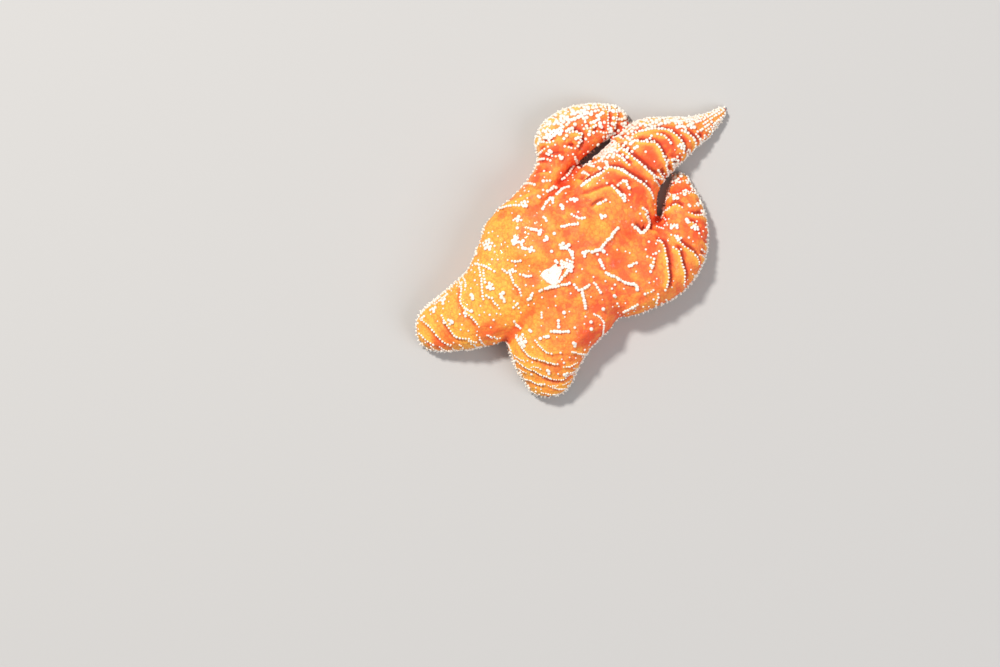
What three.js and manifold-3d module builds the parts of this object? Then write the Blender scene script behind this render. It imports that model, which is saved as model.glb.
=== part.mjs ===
// Ochre sea star (Pisaster ochraceus), life size: a domed disc with five thick arms that
// drape round it and lie on the floor. Millimetres, +Z up. The plan is laid out about the
// middle of the disc's spine pattern; at the end the whole star is moved so that the
// origin is the middle of the underside of its box.
import * as THREE from "three";
import { LoftGeometry } from "three/addons/geometries/LoftGeometry.js";
import { mergeVertices } from "three/addons/utils/BufferGeometryUtils.js";
import Module from "manifold-3d";

const wasm = await Module();
wasm.setup();

// ---- Driving dimensions -----------------------------------------------------------------

const CUT = 0.3; // gap that parts two neighbouring pieces
const TALL = 160; // reach of the cutting tools, more than the star's height
const CRUMB = 50; // a piece with less volume than this, left where two cuts meet, is dropped

// The disc is a full dome, whose widest level is the waist. The arms start at its centre.
const CENTRE = { x: -8, y: 5 };
const DOME = { x: -15, y: 10, radiusX: 62, radiusY: 57, top: 50, waist: 13, fullness: 0.8 };

// Low swells on the dome, from near its centre outwards: a long one towards each arm, and a
// short one between each two of them. ways are degrees, and rest is how much of a swell's
// height the dome lies below its plain form.
const SWELL = { height: 2.6, halfWidth: 5.5, rest: 0.45, to: 42, fade: 10 };
const SWELLS = [
  { ways: [121, 36, -22, -78, 214], from: 10 },
  { ways: [168, 79, 7, -50, 248], from: 27 },
];

// Where two neighbouring arms meet, in plan, going round from the south arm's left side.
const NOTCH = {
  southEast: [26, -36],
  eastNortheast: [54, 38],
  northeastNorth: [-16.5, 67.5],
  northWest: [-68, 45],
  westSouth: [-58.5, -52.5],
};
const NOTCH_REACH = 3; // how far the disc's corners reach past the notches

// The north arm lies close to the northeast arm along this line; a narrow gap parts them.
// It gapes between two places, given as shares of the line, from which it narrows again.
const CREASE = {
  from: [-22, 62.5],
  to: [40, 116],
  width: 1.6,
  gape: 3.2,
  opens: [0.36, 0.62],
  ease: 0.08,
};

// Each arm starts between two notches and passes through stations:
// [x, y, heading in degrees, half width, height]. tip is the furthest point.
const ARMS = [
  {
    name: "arm_west",
    right: NOTCH.northWest,
    left: NOTCH.westSouth,
    baseHeight: 43,
    stations: [
      [-81, -26.5, 191, 31, 40],
      [-99.5, -38.5, 200, 23.5, 34],
      [-114, -44, 200, 18, 26],
    ],
    tip: [-125.5, -49],
  },
  {
    name: "arm_south",
    right: NOTCH.westSouth,
    left: NOTCH.southEast,
    baseHeight: 43,
    stations: [
      [-24.5, -60, 277, 32, 40],
      [-27, -73, 275, 24.5, 34],
      [-26, -82, 274, 19, 26],
    ],
    tip: [-27, -95],
  },
  {
    name: "arm_east",
    right: NOTCH.southEast,
    left: NOTCH.eastNortheast,
    baseHeight: 43,
    stations: [
      [55, 2, 1, 29.5, 40],
      [67.5, 12.5, 26, 27, 37],
      [74.5, 26.5, 48, 23, 33],
      [76, 41.2, 65, 19, 28],
      [74, 56.5, 82, 13, 22],
      [72, 67, 92, 8, 15],
    ],
    tip: [72, 74.5],
  },
  {
    name: "arm_northeast",
    right: NOTCH.eastNortheast,
    left: NOTCH.northeastNorth,
    baseHeight: 44,
    stations: [
      [24.9, 65.1, 67, 33, 42],
      [34, 77, 65, 27, 38],
      [47.5, 91, 62, 26.5, 34],
      [60, 100, 52, 23, 29],
      [74.5, 104, 40, 15.5, 23],
      [88, 108, 31, 10, 17],
      [97, 114, 30, 6.5, 12],
    ],
    tip: [107, 122.5],
  },
  {
    name: "arm_north",
    right: NOTCH.northeastNorth,
    left: NOTCH.northWest,
    baseHeight: 42,
    stations: [
      [-34, 62.5, 107, 21, 38],
      [-21.5, 79, 82, 14.5, 32],
      [-18, 90, 73, 21, 33],
      [-11, 101, 68, 23.5, 31],
      [1, 109.5, 54, 21, 27],
      [14.5, 113.5, 36, 16, 22],
      [25.5, 115, 14, 10.5, 16],
    ],
    tip: [34, 114],
  },
];

// Shape of the arms' sections: flatter than an ellipse on top, and narrower at the floor.
const SECTION = { points: 18, squareness: 0.88, waistShare: 0.3, undercut: 1.9 };
const ROOT_SHARE = 0.7; // half width of an arm where it starts in the disc, as a share of its base
const ROW_STEP = 8; // length of arm to each row of its loft
const END = { rows: 4, from: 0.38, to: 1.5 }; // the rounding of an arm's end, as angles

// The groove under each arm, from the mouth to near the tip, and the pit of the mouth.
const GROOVE = {
  baseHalf: 5.5,
  tipHalf: 1.8,
  baseDepth: 8,
  tipDepth: 3,
  stop: 0.97,
  points: 8,
  rowStep: 10,
};
const MOUTH = { radius: 9.5, topRadius: 8, depth: 10, membraneThick: 3 };

// Where each arm is parted, as shares of the way from its base to its last station.
const PART_AT = { middle: 0.36, tip: 0.7 };
const SLAB_REACH = 1.3; // how far a parting cut reaches out, in half widths of the arm

// The sieve plate on the disc, and the eyespot at each tip.
const MADREPORITE = { x: -23.5, y: -3, along: 8, across: 5.8, turn: 60, proud: 0.9, deep: 3.1 };
const EYESPOT = { radius: 1.5, level: 0.62 };

// Facets round and along the turned shapes.
const FACETS = { dome: [40, 26], button: [18, 8], ball: [9, 6], mouth: 20 };

const ORANGE = new THREE.Color(0.9, 0.33, 0.06);
const MATERIALS = {
  skin: { color: ORANGE, roughness: 0.5, metalness: 0 },
  madreporite: { color: new THREE.Color(0.9, 0.84, 0.74), roughness: 0.6, metalness: 0 },
  eyespot: { color: new THREE.Color(0.55, 0.03, 0.02), roughness: 0.3, metalness: 0 },
  mouth: { color: new THREE.Color(0.82, 0.6, 0.42), roughness: 0.5, metalness: 0 },
};

// ---- Solids and meshes ------------------------------------------------------------------

// A closed geometry as a solid that can be joined and cut.
function solidFrom(geometry) {
  const plain = new THREE.BufferGeometry().copy(geometry);
  plain.deleteAttribute("normal");
  plain.deleteAttribute("uv");
  const merged = mergeVertices(plain, 1e-4);
  const mesh = new wasm.Mesh({
    numProp: 3,
    vertProperties: merged.attributes.position.array,
    triVerts: new Uint32Array(merged.index.array),
  });
  return new wasm.Manifold(mesh);
}

// A solid as a geometry for a mesh.
function geometryFrom(solid) {
  const mesh = solid.getMesh();
  const geometry = new THREE.BufferGeometry();
  geometry.setAttribute("position", new THREE.BufferAttribute(new Float32Array(mesh.vertProperties), 3));
  geometry.setIndex(new THREE.BufferAttribute(new Uint32Array(mesh.triVerts), 1));
  geometry.computeVertexNormals();
  return geometry;
}

function meshFrom(name, solid, material) {
  const mesh = new THREE.Mesh(geometryFrom(solid), new THREE.MeshStandardMaterial(MATERIALS[material]));
  mesh.name = name;
  return mesh;
}

function middleOf(solid) {
  const box = new THREE.Box3().setFromBufferAttribute(geometryFrom(solid).attributes.position);
  return box.getCenter(new THREE.Vector3());
}

// ---- Arms -------------------------------------------------------------------------------

// The curves that an arm's sections follow: middle holds x, y and height, half is the
// vector from the middle to the left margin, and fromBase turns a share of the way from
// the arm's base into a place on the curves.
function armCurves(arm) {
  const [right, left] = [arm.right, arm.left].map(([x, y]) => new THREE.Vector2(x, y));
  const baseMiddle = right.clone().add(left).multiplyScalar(0.5);
  const baseHalf = left.clone().sub(baseMiddle);
  const middles = [
    new THREE.Vector3(CENTRE.x, CENTRE.y, DOME.top - 2),
    new THREE.Vector3(baseMiddle.x, baseMiddle.y, arm.baseHeight),
  ];
  const rootHalf = baseHalf.clone().multiplyScalar(ROOT_SHARE);
  const halves = [
    new THREE.Vector3(rootHalf.x, rootHalf.y, 0),
    new THREE.Vector3(baseHalf.x, baseHalf.y, 0),
  ];
  for (const [x, y, heading, halfWidth, height] of arm.stations) {
    const side = THREE.MathUtils.degToRad(heading + 90);
    middles.push(new THREE.Vector3(x, y, height));
    halves.push(new THREE.Vector3(Math.cos(side) * halfWidth, Math.sin(side) * halfWidth, 0));
  }
  const baseAt = 1 / (middles.length - 1);
  return {
    middle: new THREE.CatmullRomCurve3(middles, false, "centripetal"),
    half: new THREE.CatmullRomCurve3(halves, false, "centripetal"),
    fromBase: (share) => THREE.MathUtils.lerp(baseAt, 1, share),
  };
}

const signedPower = (value, power) => Math.sign(value) * Math.abs(value) ** power;

// A closed ring across an arm: round on top, and drawn in below its widest level.
function ring(middle, half, { top, waist, bottom }, points, squareness) {
  const made = [];
  for (let i = 0; i < points; i++) {
    const angle = (2 * Math.PI * i) / points;
    const across = signedPower(Math.cos(angle), squareness);
    const up = signedPower(Math.sin(angle), squareness);
    const z = waist + (up > 0 ? (top - waist) * up : (waist - bottom) * up);
    made.push(new THREE.Vector3(middle.x + half.x * across, middle.y + half.y * across, z));
  }
  return made;
}

// The levels of an arm's section; share shrinks it towards its widest level.
function armLevels(height, share = 1) {
  const waist = height * SECTION.waistShare;
  return { top: waist + (height - waist) * share, waist, bottom: waist - waist * SECTION.undercut * share };
}

function armSolid(arm) {
  const { middle, half } = armCurves(arm);
  const sections = [];
  const rows = Math.round(middle.getLength() / ROW_STEP);
  for (let i = 0; i <= rows; i++) {
    const at = middle.getPoint(i / rows);
    sections.push(ring(at, half.getPoint(i / rows), armLevels(at.z), SECTION.points, SECTION.squareness));
  }
  // The end rounds off from the last station to the tip.
  const end = middle.getPoint(1);
  const endHalf = half.getPoint(1);
  const reach = new THREE.Vector3(arm.tip[0] - end.x, arm.tip[1] - end.y, 0);
  for (let i = 1; i <= END.rows; i++) {
    const turn = THREE.MathUtils.lerp(END.from, END.to, i / END.rows);
    const along = (Math.sin(turn) - Math.sin(END.from)) / (Math.sin(END.to) - Math.sin(END.from));
    const share = Math.cos(turn) / Math.cos(END.from);
    const at = end.clone().addScaledVector(reach, along);
    const across = endHalf.clone().multiplyScalar(share);
    sections.push(ring(at, across, armLevels(end.z, share), SECTION.points, SECTION.squareness));
  }
  return solidFrom(new LoftGeometry(sections, { capStart: true, capEnd: true }));
}

// The cutter for the groove under an arm.
function grooveSolid(arm) {
  const { middle, half } = armCurves(arm);
  const rows = Math.round(middle.getLength() / GROOVE.rowStep);
  const sections = [];
  for (let i = 0; i <= rows; i++) {
    const share = i / rows;
    const at = middle.getPoint(GROOVE.stop * share);
    const side = half.getPoint(GROOVE.stop * share);
    side.setLength(THREE.MathUtils.lerp(GROOVE.baseHalf, GROOVE.tipHalf, share));
    const depth = THREE.MathUtils.lerp(GROOVE.baseDepth, GROOVE.tipDepth, share);
    sections.push(ring(at, side, { top: depth, waist: 0, bottom: -depth }, GROOVE.points, 1));
  }
  return solidFrom(new LoftGeometry(sections, { capStart: true, capEnd: true }));
}

// A thin upright slab across an arm, which parts it there.
function partingSlab(arm, share) {
  const { middle, half, fromBase } = armCurves(arm);
  const at = middle.getPoint(fromBase(share));
  const side = half.getPoint(fromBase(share));
  const slab = new THREE.BoxGeometry(2 * SLAB_REACH * side.length(), CUT, TALL);
  slab.rotateZ(Math.atan2(side.y, side.x));
  slab.translate(at.x, at.y, 0);
  return solidFrom(slab);
}

// The upright cutter that parts the north arm from the northeast arm.
function creaseTool() {
  const { from, to, width, gape, opens, ease } = CREASE;
  const run = new THREE.Vector2(to[0] - from[0], to[1] - from[1]);
  const [start, end] = opens;
  const shares = [0, start - ease, start, end, end + ease, 1];
  const left = shares.map((share, i) => {
    const wide = i === 2 || i === 3 ? gape : width;
    return new THREE.Vector2(share * run.length(), wide / 2);
  });
  const right = left.map(({ x, y }) => new THREE.Vector2(x, -y)).reverse();
  const outline = new THREE.Shape([...left, ...right]);
  const tool = new THREE.ExtrudeGeometry(outline, { depth: TALL, bevelEnabled: false });
  tool.rotateZ(run.angle());
  tool.translate(from[0], from[1], -TALL / 4);
  return solidFrom(tool);
}

// ---- Disc and small parts ---------------------------------------------------------------

// How much of a swell's height the dome has at a place in plan, seen from its centre.
function swellAt(out, way) {
  let most = 0;
  for (const { ways, from } of SWELLS) {
    const started = THREE.MathUtils.smoothstep(out, from - SWELL.fade, from);
    for (const middle of ways) {
      const turn = way - THREE.MathUtils.degToRad(middle);
      const beside = Math.cos(turn) > 0 ? (out * Math.sin(turn)) / SWELL.halfWidth : Infinity;
      most = Math.max(most, started * Math.exp(-(beside ** 2)));
    }
  }
  return most;
}

function domeSolid() {
  const [round, along] = FACETS.dome;
  const profile = Array.from({ length: along + 1 }, (_, i) => {
    const angle = Math.PI * (i / along - 0.5);
    const out = i % along ? signedPower(Math.cos(angle), DOME.fullness) : 0;
    return new THREE.Vector2(out, signedPower(Math.sin(angle), DOME.fullness));
  });
  const dome = new THREE.LatheGeometry(profile, round);
  dome.rotateX(Math.PI / 2);
  dome.scale(DOME.radiusX, DOME.radiusY, DOME.top - DOME.waist);
  dome.translate(DOME.x, DOME.y, DOME.waist);
  const { position } = dome.attributes;
  for (let i = 0; i < position.count; i++) {
    const [x, y, z] = [position.getX(i) - CENTRE.x, position.getY(i) - CENTRE.y, position.getZ(i)];
    const out = Math.hypot(x, y);
    const share = z > DOME.waist ? 1 - THREE.MathUtils.smoothstep(out, SWELL.to, SWELL.to + SWELL.fade) : 0;
    position.setZ(i, z + SWELL.height * share * (swellAt(out, Math.atan2(y, x)) - SWELL.rest));
  }
  return solidFrom(dome);
}

// The five-sided tool that holds the disc, its corners just past the notches. gap moves
// its sides out by about that much, for which its corners move a little further.
function discTool(gap) {
  const shape = new THREE.Shape();
  Object.values(NOTCH).forEach(([x, y], i) => {
    const away = new THREE.Vector2(x - CENTRE.x, y - CENTRE.y);
    away.setLength(away.length() + NOTCH_REACH + gap / Math.cos(Math.PI / 5));
    shape[i ? "lineTo" : "moveTo"](CENTRE.x + away.x, CENTRE.y + away.y);
  });
  const prism = new THREE.ExtrudeGeometry(shape, { depth: TALL, bevelEnabled: false });
  prism.translate(0, 0, -TALL / 4);
  return solidFrom(prism);
}

// A round body about the centre of the disc, from the outline of one side of it.
function turned(profile) {
  const body = new THREE.LatheGeometry(profile.map(([r, z]) => new THREE.Vector2(r, z)), FACETS.mouth);
  body.rotateX(Math.PI / 2);
  body.translate(CENTRE.x, CENTRE.y, 0);
  return solidFrom(body);
}

function mouthPit() {
  const { radius, topRadius, depth } = MOUTH;
  return turned([[0, -depth], [radius, -depth], [radius, 0], [topRadius, depth], [0, depth]]);
}

function mouthMembrane() {
  const { topRadius, depth, membraneThick } = MOUTH;
  const radius = topRadius - CUT;
  const top = depth - CUT;
  const under = top - membraneThick;
  const rim = top - membraneThick * 0.7;
  return turned([[0, under], [radius * 0.3, under], [radius, rim], [radius, top], [0, top]]);
}

// The sieve plate, an oval button that sits square on the disc's surface; grow widens it
// into the cutter of its pocket.
function madreporiteSolid(surface, grow) {
  const button = new THREE.SphereGeometry(1, ...FACETS.button);
  button.rotateX(Math.PI / 2);
  const half = (MADREPORITE.proud + MADREPORITE.deep) / 2 + grow;
  button.scale(MADREPORITE.along + grow, MADREPORITE.across + grow, half);
  button.rotateZ(THREE.MathUtils.degToRad(MADREPORITE.turn));
  button.translate(0, 0, (MADREPORITE.proud - MADREPORITE.deep) / 2);
  const up = new THREE.Vector3(0, 0, 1);
  button.applyQuaternion(new THREE.Quaternion().setFromUnitVectors(up, surface.normal));
  button.translate(surface.point.x, surface.point.y, surface.point.z);
  return solidFrom(button);
}

// The point and the slope of a solid's upper surface over a place in plan.
function surfaceAt(solid, x, y) {
  const mesh = new THREE.Mesh(geometryFrom(solid), new THREE.MeshBasicMaterial());
  const ray = new THREE.Raycaster(new THREE.Vector3(x, y, TALL), new THREE.Vector3(0, 0, -1));
  const hit = ray.intersectObject(mesh)[0];
  return { point: hit.point, normal: hit.face.normal.clone() };
}

// The red ball at an arm's tip; grow widens it into the cutter of its pocket.
function eyespotSolid(arm, grow) {
  const last = arm.stations.at(-1);
  const level = last[4] * SECTION.waistShare * EYESPOT.level;
  const away = new THREE.Vector2(arm.tip[0] - last[0], arm.tip[1] - last[1]);
  away.setLength(away.length() - EYESPOT.radius * 1.2);
  const ball = new THREE.SphereGeometry(EYESPOT.radius + grow, ...FACETS.ball);
  ball.translate(last[0] + away.x, last[1] + away.y, level);
  return solidFrom(ball);
}

// ---- The star ---------------------------------------------------------------------------

function wholeBody() {
  let body = domeSolid();
  for (const arm of ARMS) body = body.add(armSolid(arm));
  const floor = new THREE.BoxGeometry(4 * TALL, 4 * TALL, TALL);
  floor.translate(0, 0, -TALL / 2);
  body = body.subtract(solidFrom(floor)).subtract(mouthPit());
  for (const arm of ARMS) body = body.subtract(grooveSolid(arm));
  return body;
}

// The solid of a list whose middle lies nearest to a place in plan.
function nearest(solids, x, y) {
  const distance = (solid) => {
    const middle = middleOf(solid);
    return Math.hypot(middle.x - x, middle.y - y);
  };
  return solids.reduce((best, solid) => (distance(solid) < distance(best) ? solid : best));
}

const largest = (solids) => solids.reduce((best, solid) => (solid.volume() > best.volume() ? solid : best));

// Parts one arm into its base, middle and tip.
function armPieces(arm, solid) {
  const { middle, fromBase } = armCurves(arm);
  const parted = solid
    .subtract(partingSlab(arm, PART_AT.middle))
    .subtract(partingSlab(arm, PART_AT.tip))
    .decompose()
    .filter((piece) => piece.volume() > CRUMB);
  if (parted.length !== 3) throw new Error(`${arm.name} parted into ${parted.length} pieces`);
  const places = { base: PART_AT.middle / 2, middle: (PART_AT.middle + PART_AT.tip) / 2, tip: 0.9 };
  return Object.entries(places).map(([length, share]) => {
    const at = middle.getPoint(fromBase(share));
    return meshFrom(`${arm.name}_${length}`, nearest(parted, at.x, at.y), "skin");
  });
}

function seaStar() {
  const star = new THREE.Group();
  let body = wholeBody();
  const seat = surfaceAt(body, MADREPORITE.x, MADREPORITE.y);
  star.add(meshFrom("madreporite", madreporiteSolid(seat, 0), "madreporite"));
  body = body.subtract(madreporiteSolid(seat, CUT));
  for (const arm of ARMS) {
    const spot = meshFrom(arm.name.replace("arm", "eyespot"), eyespotSolid(arm, 0), "eyespot");
    star.add(spot);
    body = body.subtract(eyespotSolid(arm, CUT));
  }
  star.add(meshFrom("mouth", mouthMembrane(), "mouth"));
  star.add(meshFrom("disc", largest(body.intersect(discTool(0)).decompose()), "skin"));
  const arms = body.subtract(discTool(CUT)).subtract(creaseTool()).decompose();
  if (arms.length !== ARMS.length) throw new Error(`the arms parted into ${arms.length} pieces`);
  for (const arm of ARMS) {
    const [x, y] = arm.stations[1];
    star.add(...armPieces(arm, nearest(arms, x, y)));
  }
  return star;
}

// Moves the star so that the middle of its box's underside is the origin.
function centred(star) {
  const box = new THREE.Box3().setFromObject(star);
  const middle = box.getCenter(new THREE.Vector3());
  star.position.set(-middle.x, -middle.y, -box.min.z);
  return new THREE.Group().add(star);
}

export default centred(seaStar());
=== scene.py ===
"""An ochre sea star lying on a pale floor, seen from above: one wet orange skin over the whole
body, white spines in beaded chains and rows, and tube feet in the grooves beneath. Metres, in the
frame's axes."""
import math
import random
from collections import namedtuple

import bmesh
import bpy
import numpy as np
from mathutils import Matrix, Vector, noise
from mathutils.bvhtree import BVHTree
from mathutils.kdtree import KDTree


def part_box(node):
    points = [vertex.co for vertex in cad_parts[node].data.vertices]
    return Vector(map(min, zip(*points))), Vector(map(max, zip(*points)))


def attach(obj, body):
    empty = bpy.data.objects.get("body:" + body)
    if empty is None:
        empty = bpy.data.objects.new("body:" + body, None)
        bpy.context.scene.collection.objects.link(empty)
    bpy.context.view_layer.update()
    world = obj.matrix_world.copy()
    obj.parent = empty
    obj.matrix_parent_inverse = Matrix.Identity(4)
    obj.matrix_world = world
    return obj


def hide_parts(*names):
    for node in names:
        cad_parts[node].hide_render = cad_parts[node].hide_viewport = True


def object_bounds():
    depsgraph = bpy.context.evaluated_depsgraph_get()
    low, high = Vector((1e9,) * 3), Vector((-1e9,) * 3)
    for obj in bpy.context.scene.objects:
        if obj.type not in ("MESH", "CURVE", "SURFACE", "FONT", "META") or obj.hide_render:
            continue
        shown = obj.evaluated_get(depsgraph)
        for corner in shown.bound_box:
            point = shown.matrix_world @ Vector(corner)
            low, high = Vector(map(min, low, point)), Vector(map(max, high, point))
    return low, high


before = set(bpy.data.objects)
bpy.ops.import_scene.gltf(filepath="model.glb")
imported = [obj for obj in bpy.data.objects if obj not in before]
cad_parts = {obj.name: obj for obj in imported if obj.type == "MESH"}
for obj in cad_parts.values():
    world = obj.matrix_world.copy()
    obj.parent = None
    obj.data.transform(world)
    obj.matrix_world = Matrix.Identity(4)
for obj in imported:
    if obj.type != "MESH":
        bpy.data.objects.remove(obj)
cad_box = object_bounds()

# ---- Names and sizes ----------------------------------------------------------------------

MM = 0.001
UP = Vector((0, 0, 1))
ARMS = ("west", "south", "east", "northeast", "north")
LENGTHS = ("base", "middle", "tip")
FLESH = ["disc"] + [f"arm_{arm}_{length}" for arm in ARMS for length in LENGTHS]

# The skin
VOXEL = 0.85 * MM  # size of its faces
GROWTH = 0.5 * MM  # closes the thin cuts between the nodes before they are made one skin
COAT = 1.6 * MM  # it lies this far inside the solids, which reach to the spines' tips
EASING = 130  # rounds of smoothing that take out the facets of the back and sides
KEPT_FACES = 0.62  # share of its faces that is left once the flats are thinned
MOST_RISE = 1.5 * MM  # how far a crest may stand up from it
MOST_SINK = 3.2 * MM  # and how far a crease may go down
PEBBLE_RISE = 0.22 * MM
WIDE_PEBBLES = 3.3 * MM  # from the middle of one pebble to the next
SMALL_PEBBLES = 2.2 * MM

# The arms
PATH_STEP = 0.5 * MM
CHAIN_STEP = 0.8 * MM
DISC_RADIUS = 42 * MM  # spines nearer the mouth than this belong to the disc
SHOULDERS = 45 * MM  # the arms' flanks meet farther from the mouth than this
NOTCHES = 80 * MM  # and nearer than this
HALF_WIDTH = 33 * MM  # of the broadest arm

# The ridges
CREST = 0.55 * MM  # how high they stand on the back
FLANK_CREST = 0.45 * MM
FOLDING = 1.35  # how much deeper a chain's fold is cut than its table says
FLANK_BEADS = 0.85  # size of the spines on the flanks' ridges, as a share of the chains'
RIDGE_REACH = 11 * MM  # the skin farther from a ridge than this is left as it is
CREST_WIDTH = 1.4 * MM
BACK_SLOPE = 4.5 * MM  # how far a fold swells behind its crest
FRONT_SLOPE = 0.9 * MM  # and before it, where it drops into the crease
CREASE_AHEAD = 2.1 * MM  # from the crest to the bottom of the crease
CREASE_WIDTH = 1.2 * MM
RIDGE_ENDS = 2 * MM  # how far a fold runs on past the ends of its ridge
FOLD_SHADE_ENDS = 3 * MM  # and how far its painted light and shade reach

# The spines
SUNK = 0.35 * MM  # how deep a spine's root stands in the skin
TOUSLED = 0.1  # how far they lean at random
SLENDER_FROM = 55 * MM  # the chains' spines get thinner from this far out
SLENDER_OVER = 30 * MM
PALE_FLANKS = ("northeast", "north")  # the arms whose left flanks are pale
PALE_ANGLES = (30, 62)

# The bake map
PATCH = 0.003  # width of a spine's patch on it
DISC_WIDTH = 0.13  # of the part of the dome, unrolled, that fills the map
ROUND_AN_ARM = 400  # the degrees round an arm that fill the map
SOLE_WIDTH = 0.25  # of the part of the underside that fills the map

# Clusters and single spines
CLUSTER_SPINE = 1.4 * MM
CLUSTER_GAP = 1.1 * MM
SINGLE_SPINES = 800  # places tried for the small ones between the chains
SINGLE_GAP = 2.9 * MM

# Beneath
GROOVE_START = 9 * MM
GROOVE_END = 4 * MM  # from the arm's tip
FOOT_RADIUS = 0.62 * MM
FOOT_STEP = 2.1 * MM
FOOT_ROWS = (-0.66, -0.24, 0.24, 0.66)  # where they stand across the groove
LINING_RADIUS = 0.42 * MM
LINING_STEP = 1.55 * MM
LINING_ROWS = ((1.05, 0.55), (1.42, 0.2))  # place across the groove, and lean over it
ORAL_RADIUS = 0.72 * MM
ORAL_GAP = 2.15 * MM
MOUTH_RIM = 10.8 * MM
MOUTH_PLEATS = 20

# The small pieces of the back
MADREPORITE_TURN = math.radians(50)
MADREPORITE_HALF = (9 * MM, 6 * MM)
MADREPORITE_SHIFT = Vector((1 * MM, 0, 0))  # it lies this far west of its node's middle
MADREPORITE_RISE = 2.1 * MM
MADREPORITE_SUNK = 0.25 * MM
MADREPORITE_CUT = 0.15 * MM  # depth of its grooves
EYESPOT_HALF = (1.2, 1.2, 0.95)  # in millimetres, the last one outwards

# The camera and lamps, in metres
CAMERA_AT = (-0.0533, -0.0622, 2.5)
LENS = 120
KEY_AT = (-1.55, 1.65, 3.2)
FILL_AT = (2.2, -1.2, 2.4)

# Colours
YELLOW = (1.0, 0.52, 0.07, 1)
ORANGE = (0.96, 0.195, 0.055, 1)
RED = (0.88, 0.085, 0.025, 1)
# painted shade for the deepest creases and hollows
PAINTED_CREASE_SHADE = (0.30, 0.016, 0.006, 1)
PALE = (0.80, 0.38, 0.15, 1)
CREAM = (1.0, 0.60, 0.20, 1)
LIME = (0.90, 0.86, 0.78, 1)
BUFF = (0.86, 0.6, 0.36, 1)
PAINTED_GROOVE_SHADE = (0.66, 0.42, 0.3, 1)
FLESH_TONE = (0.72, 0.36, 0.2, 1)
OPENING_SHADE = (0.12, 0.03, 0.02, 1)
AMBER = (0.72, 0.42, 0.16, 1)
PALE_AMBER = (0.8, 0.5, 0.24, 1)
SUCKER_TONE = (0.88, 0.74, 0.55, 1)
CRIMSON = (0.5, 0.02, 0.015, 1)
MAROON = (0.22, 0.006, 0.008, 1)
FLOOR = (0.5, 0.49, 0.48, 1)

# ---- The star's own pattern ---------------------------------------------------------------

# The radius of the spines in the chains, and the way from one to the next, in millimetres.
BEADS = {
    "disc": (1.3, 2.1),
    "west": (1.1, 2.2),
    "south": (0.9, 1.7),
    "east": (1.05, 2.4),
    "northeast": (1.45, 2.4),
    "north": (1.3, 2.5),
}
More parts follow.
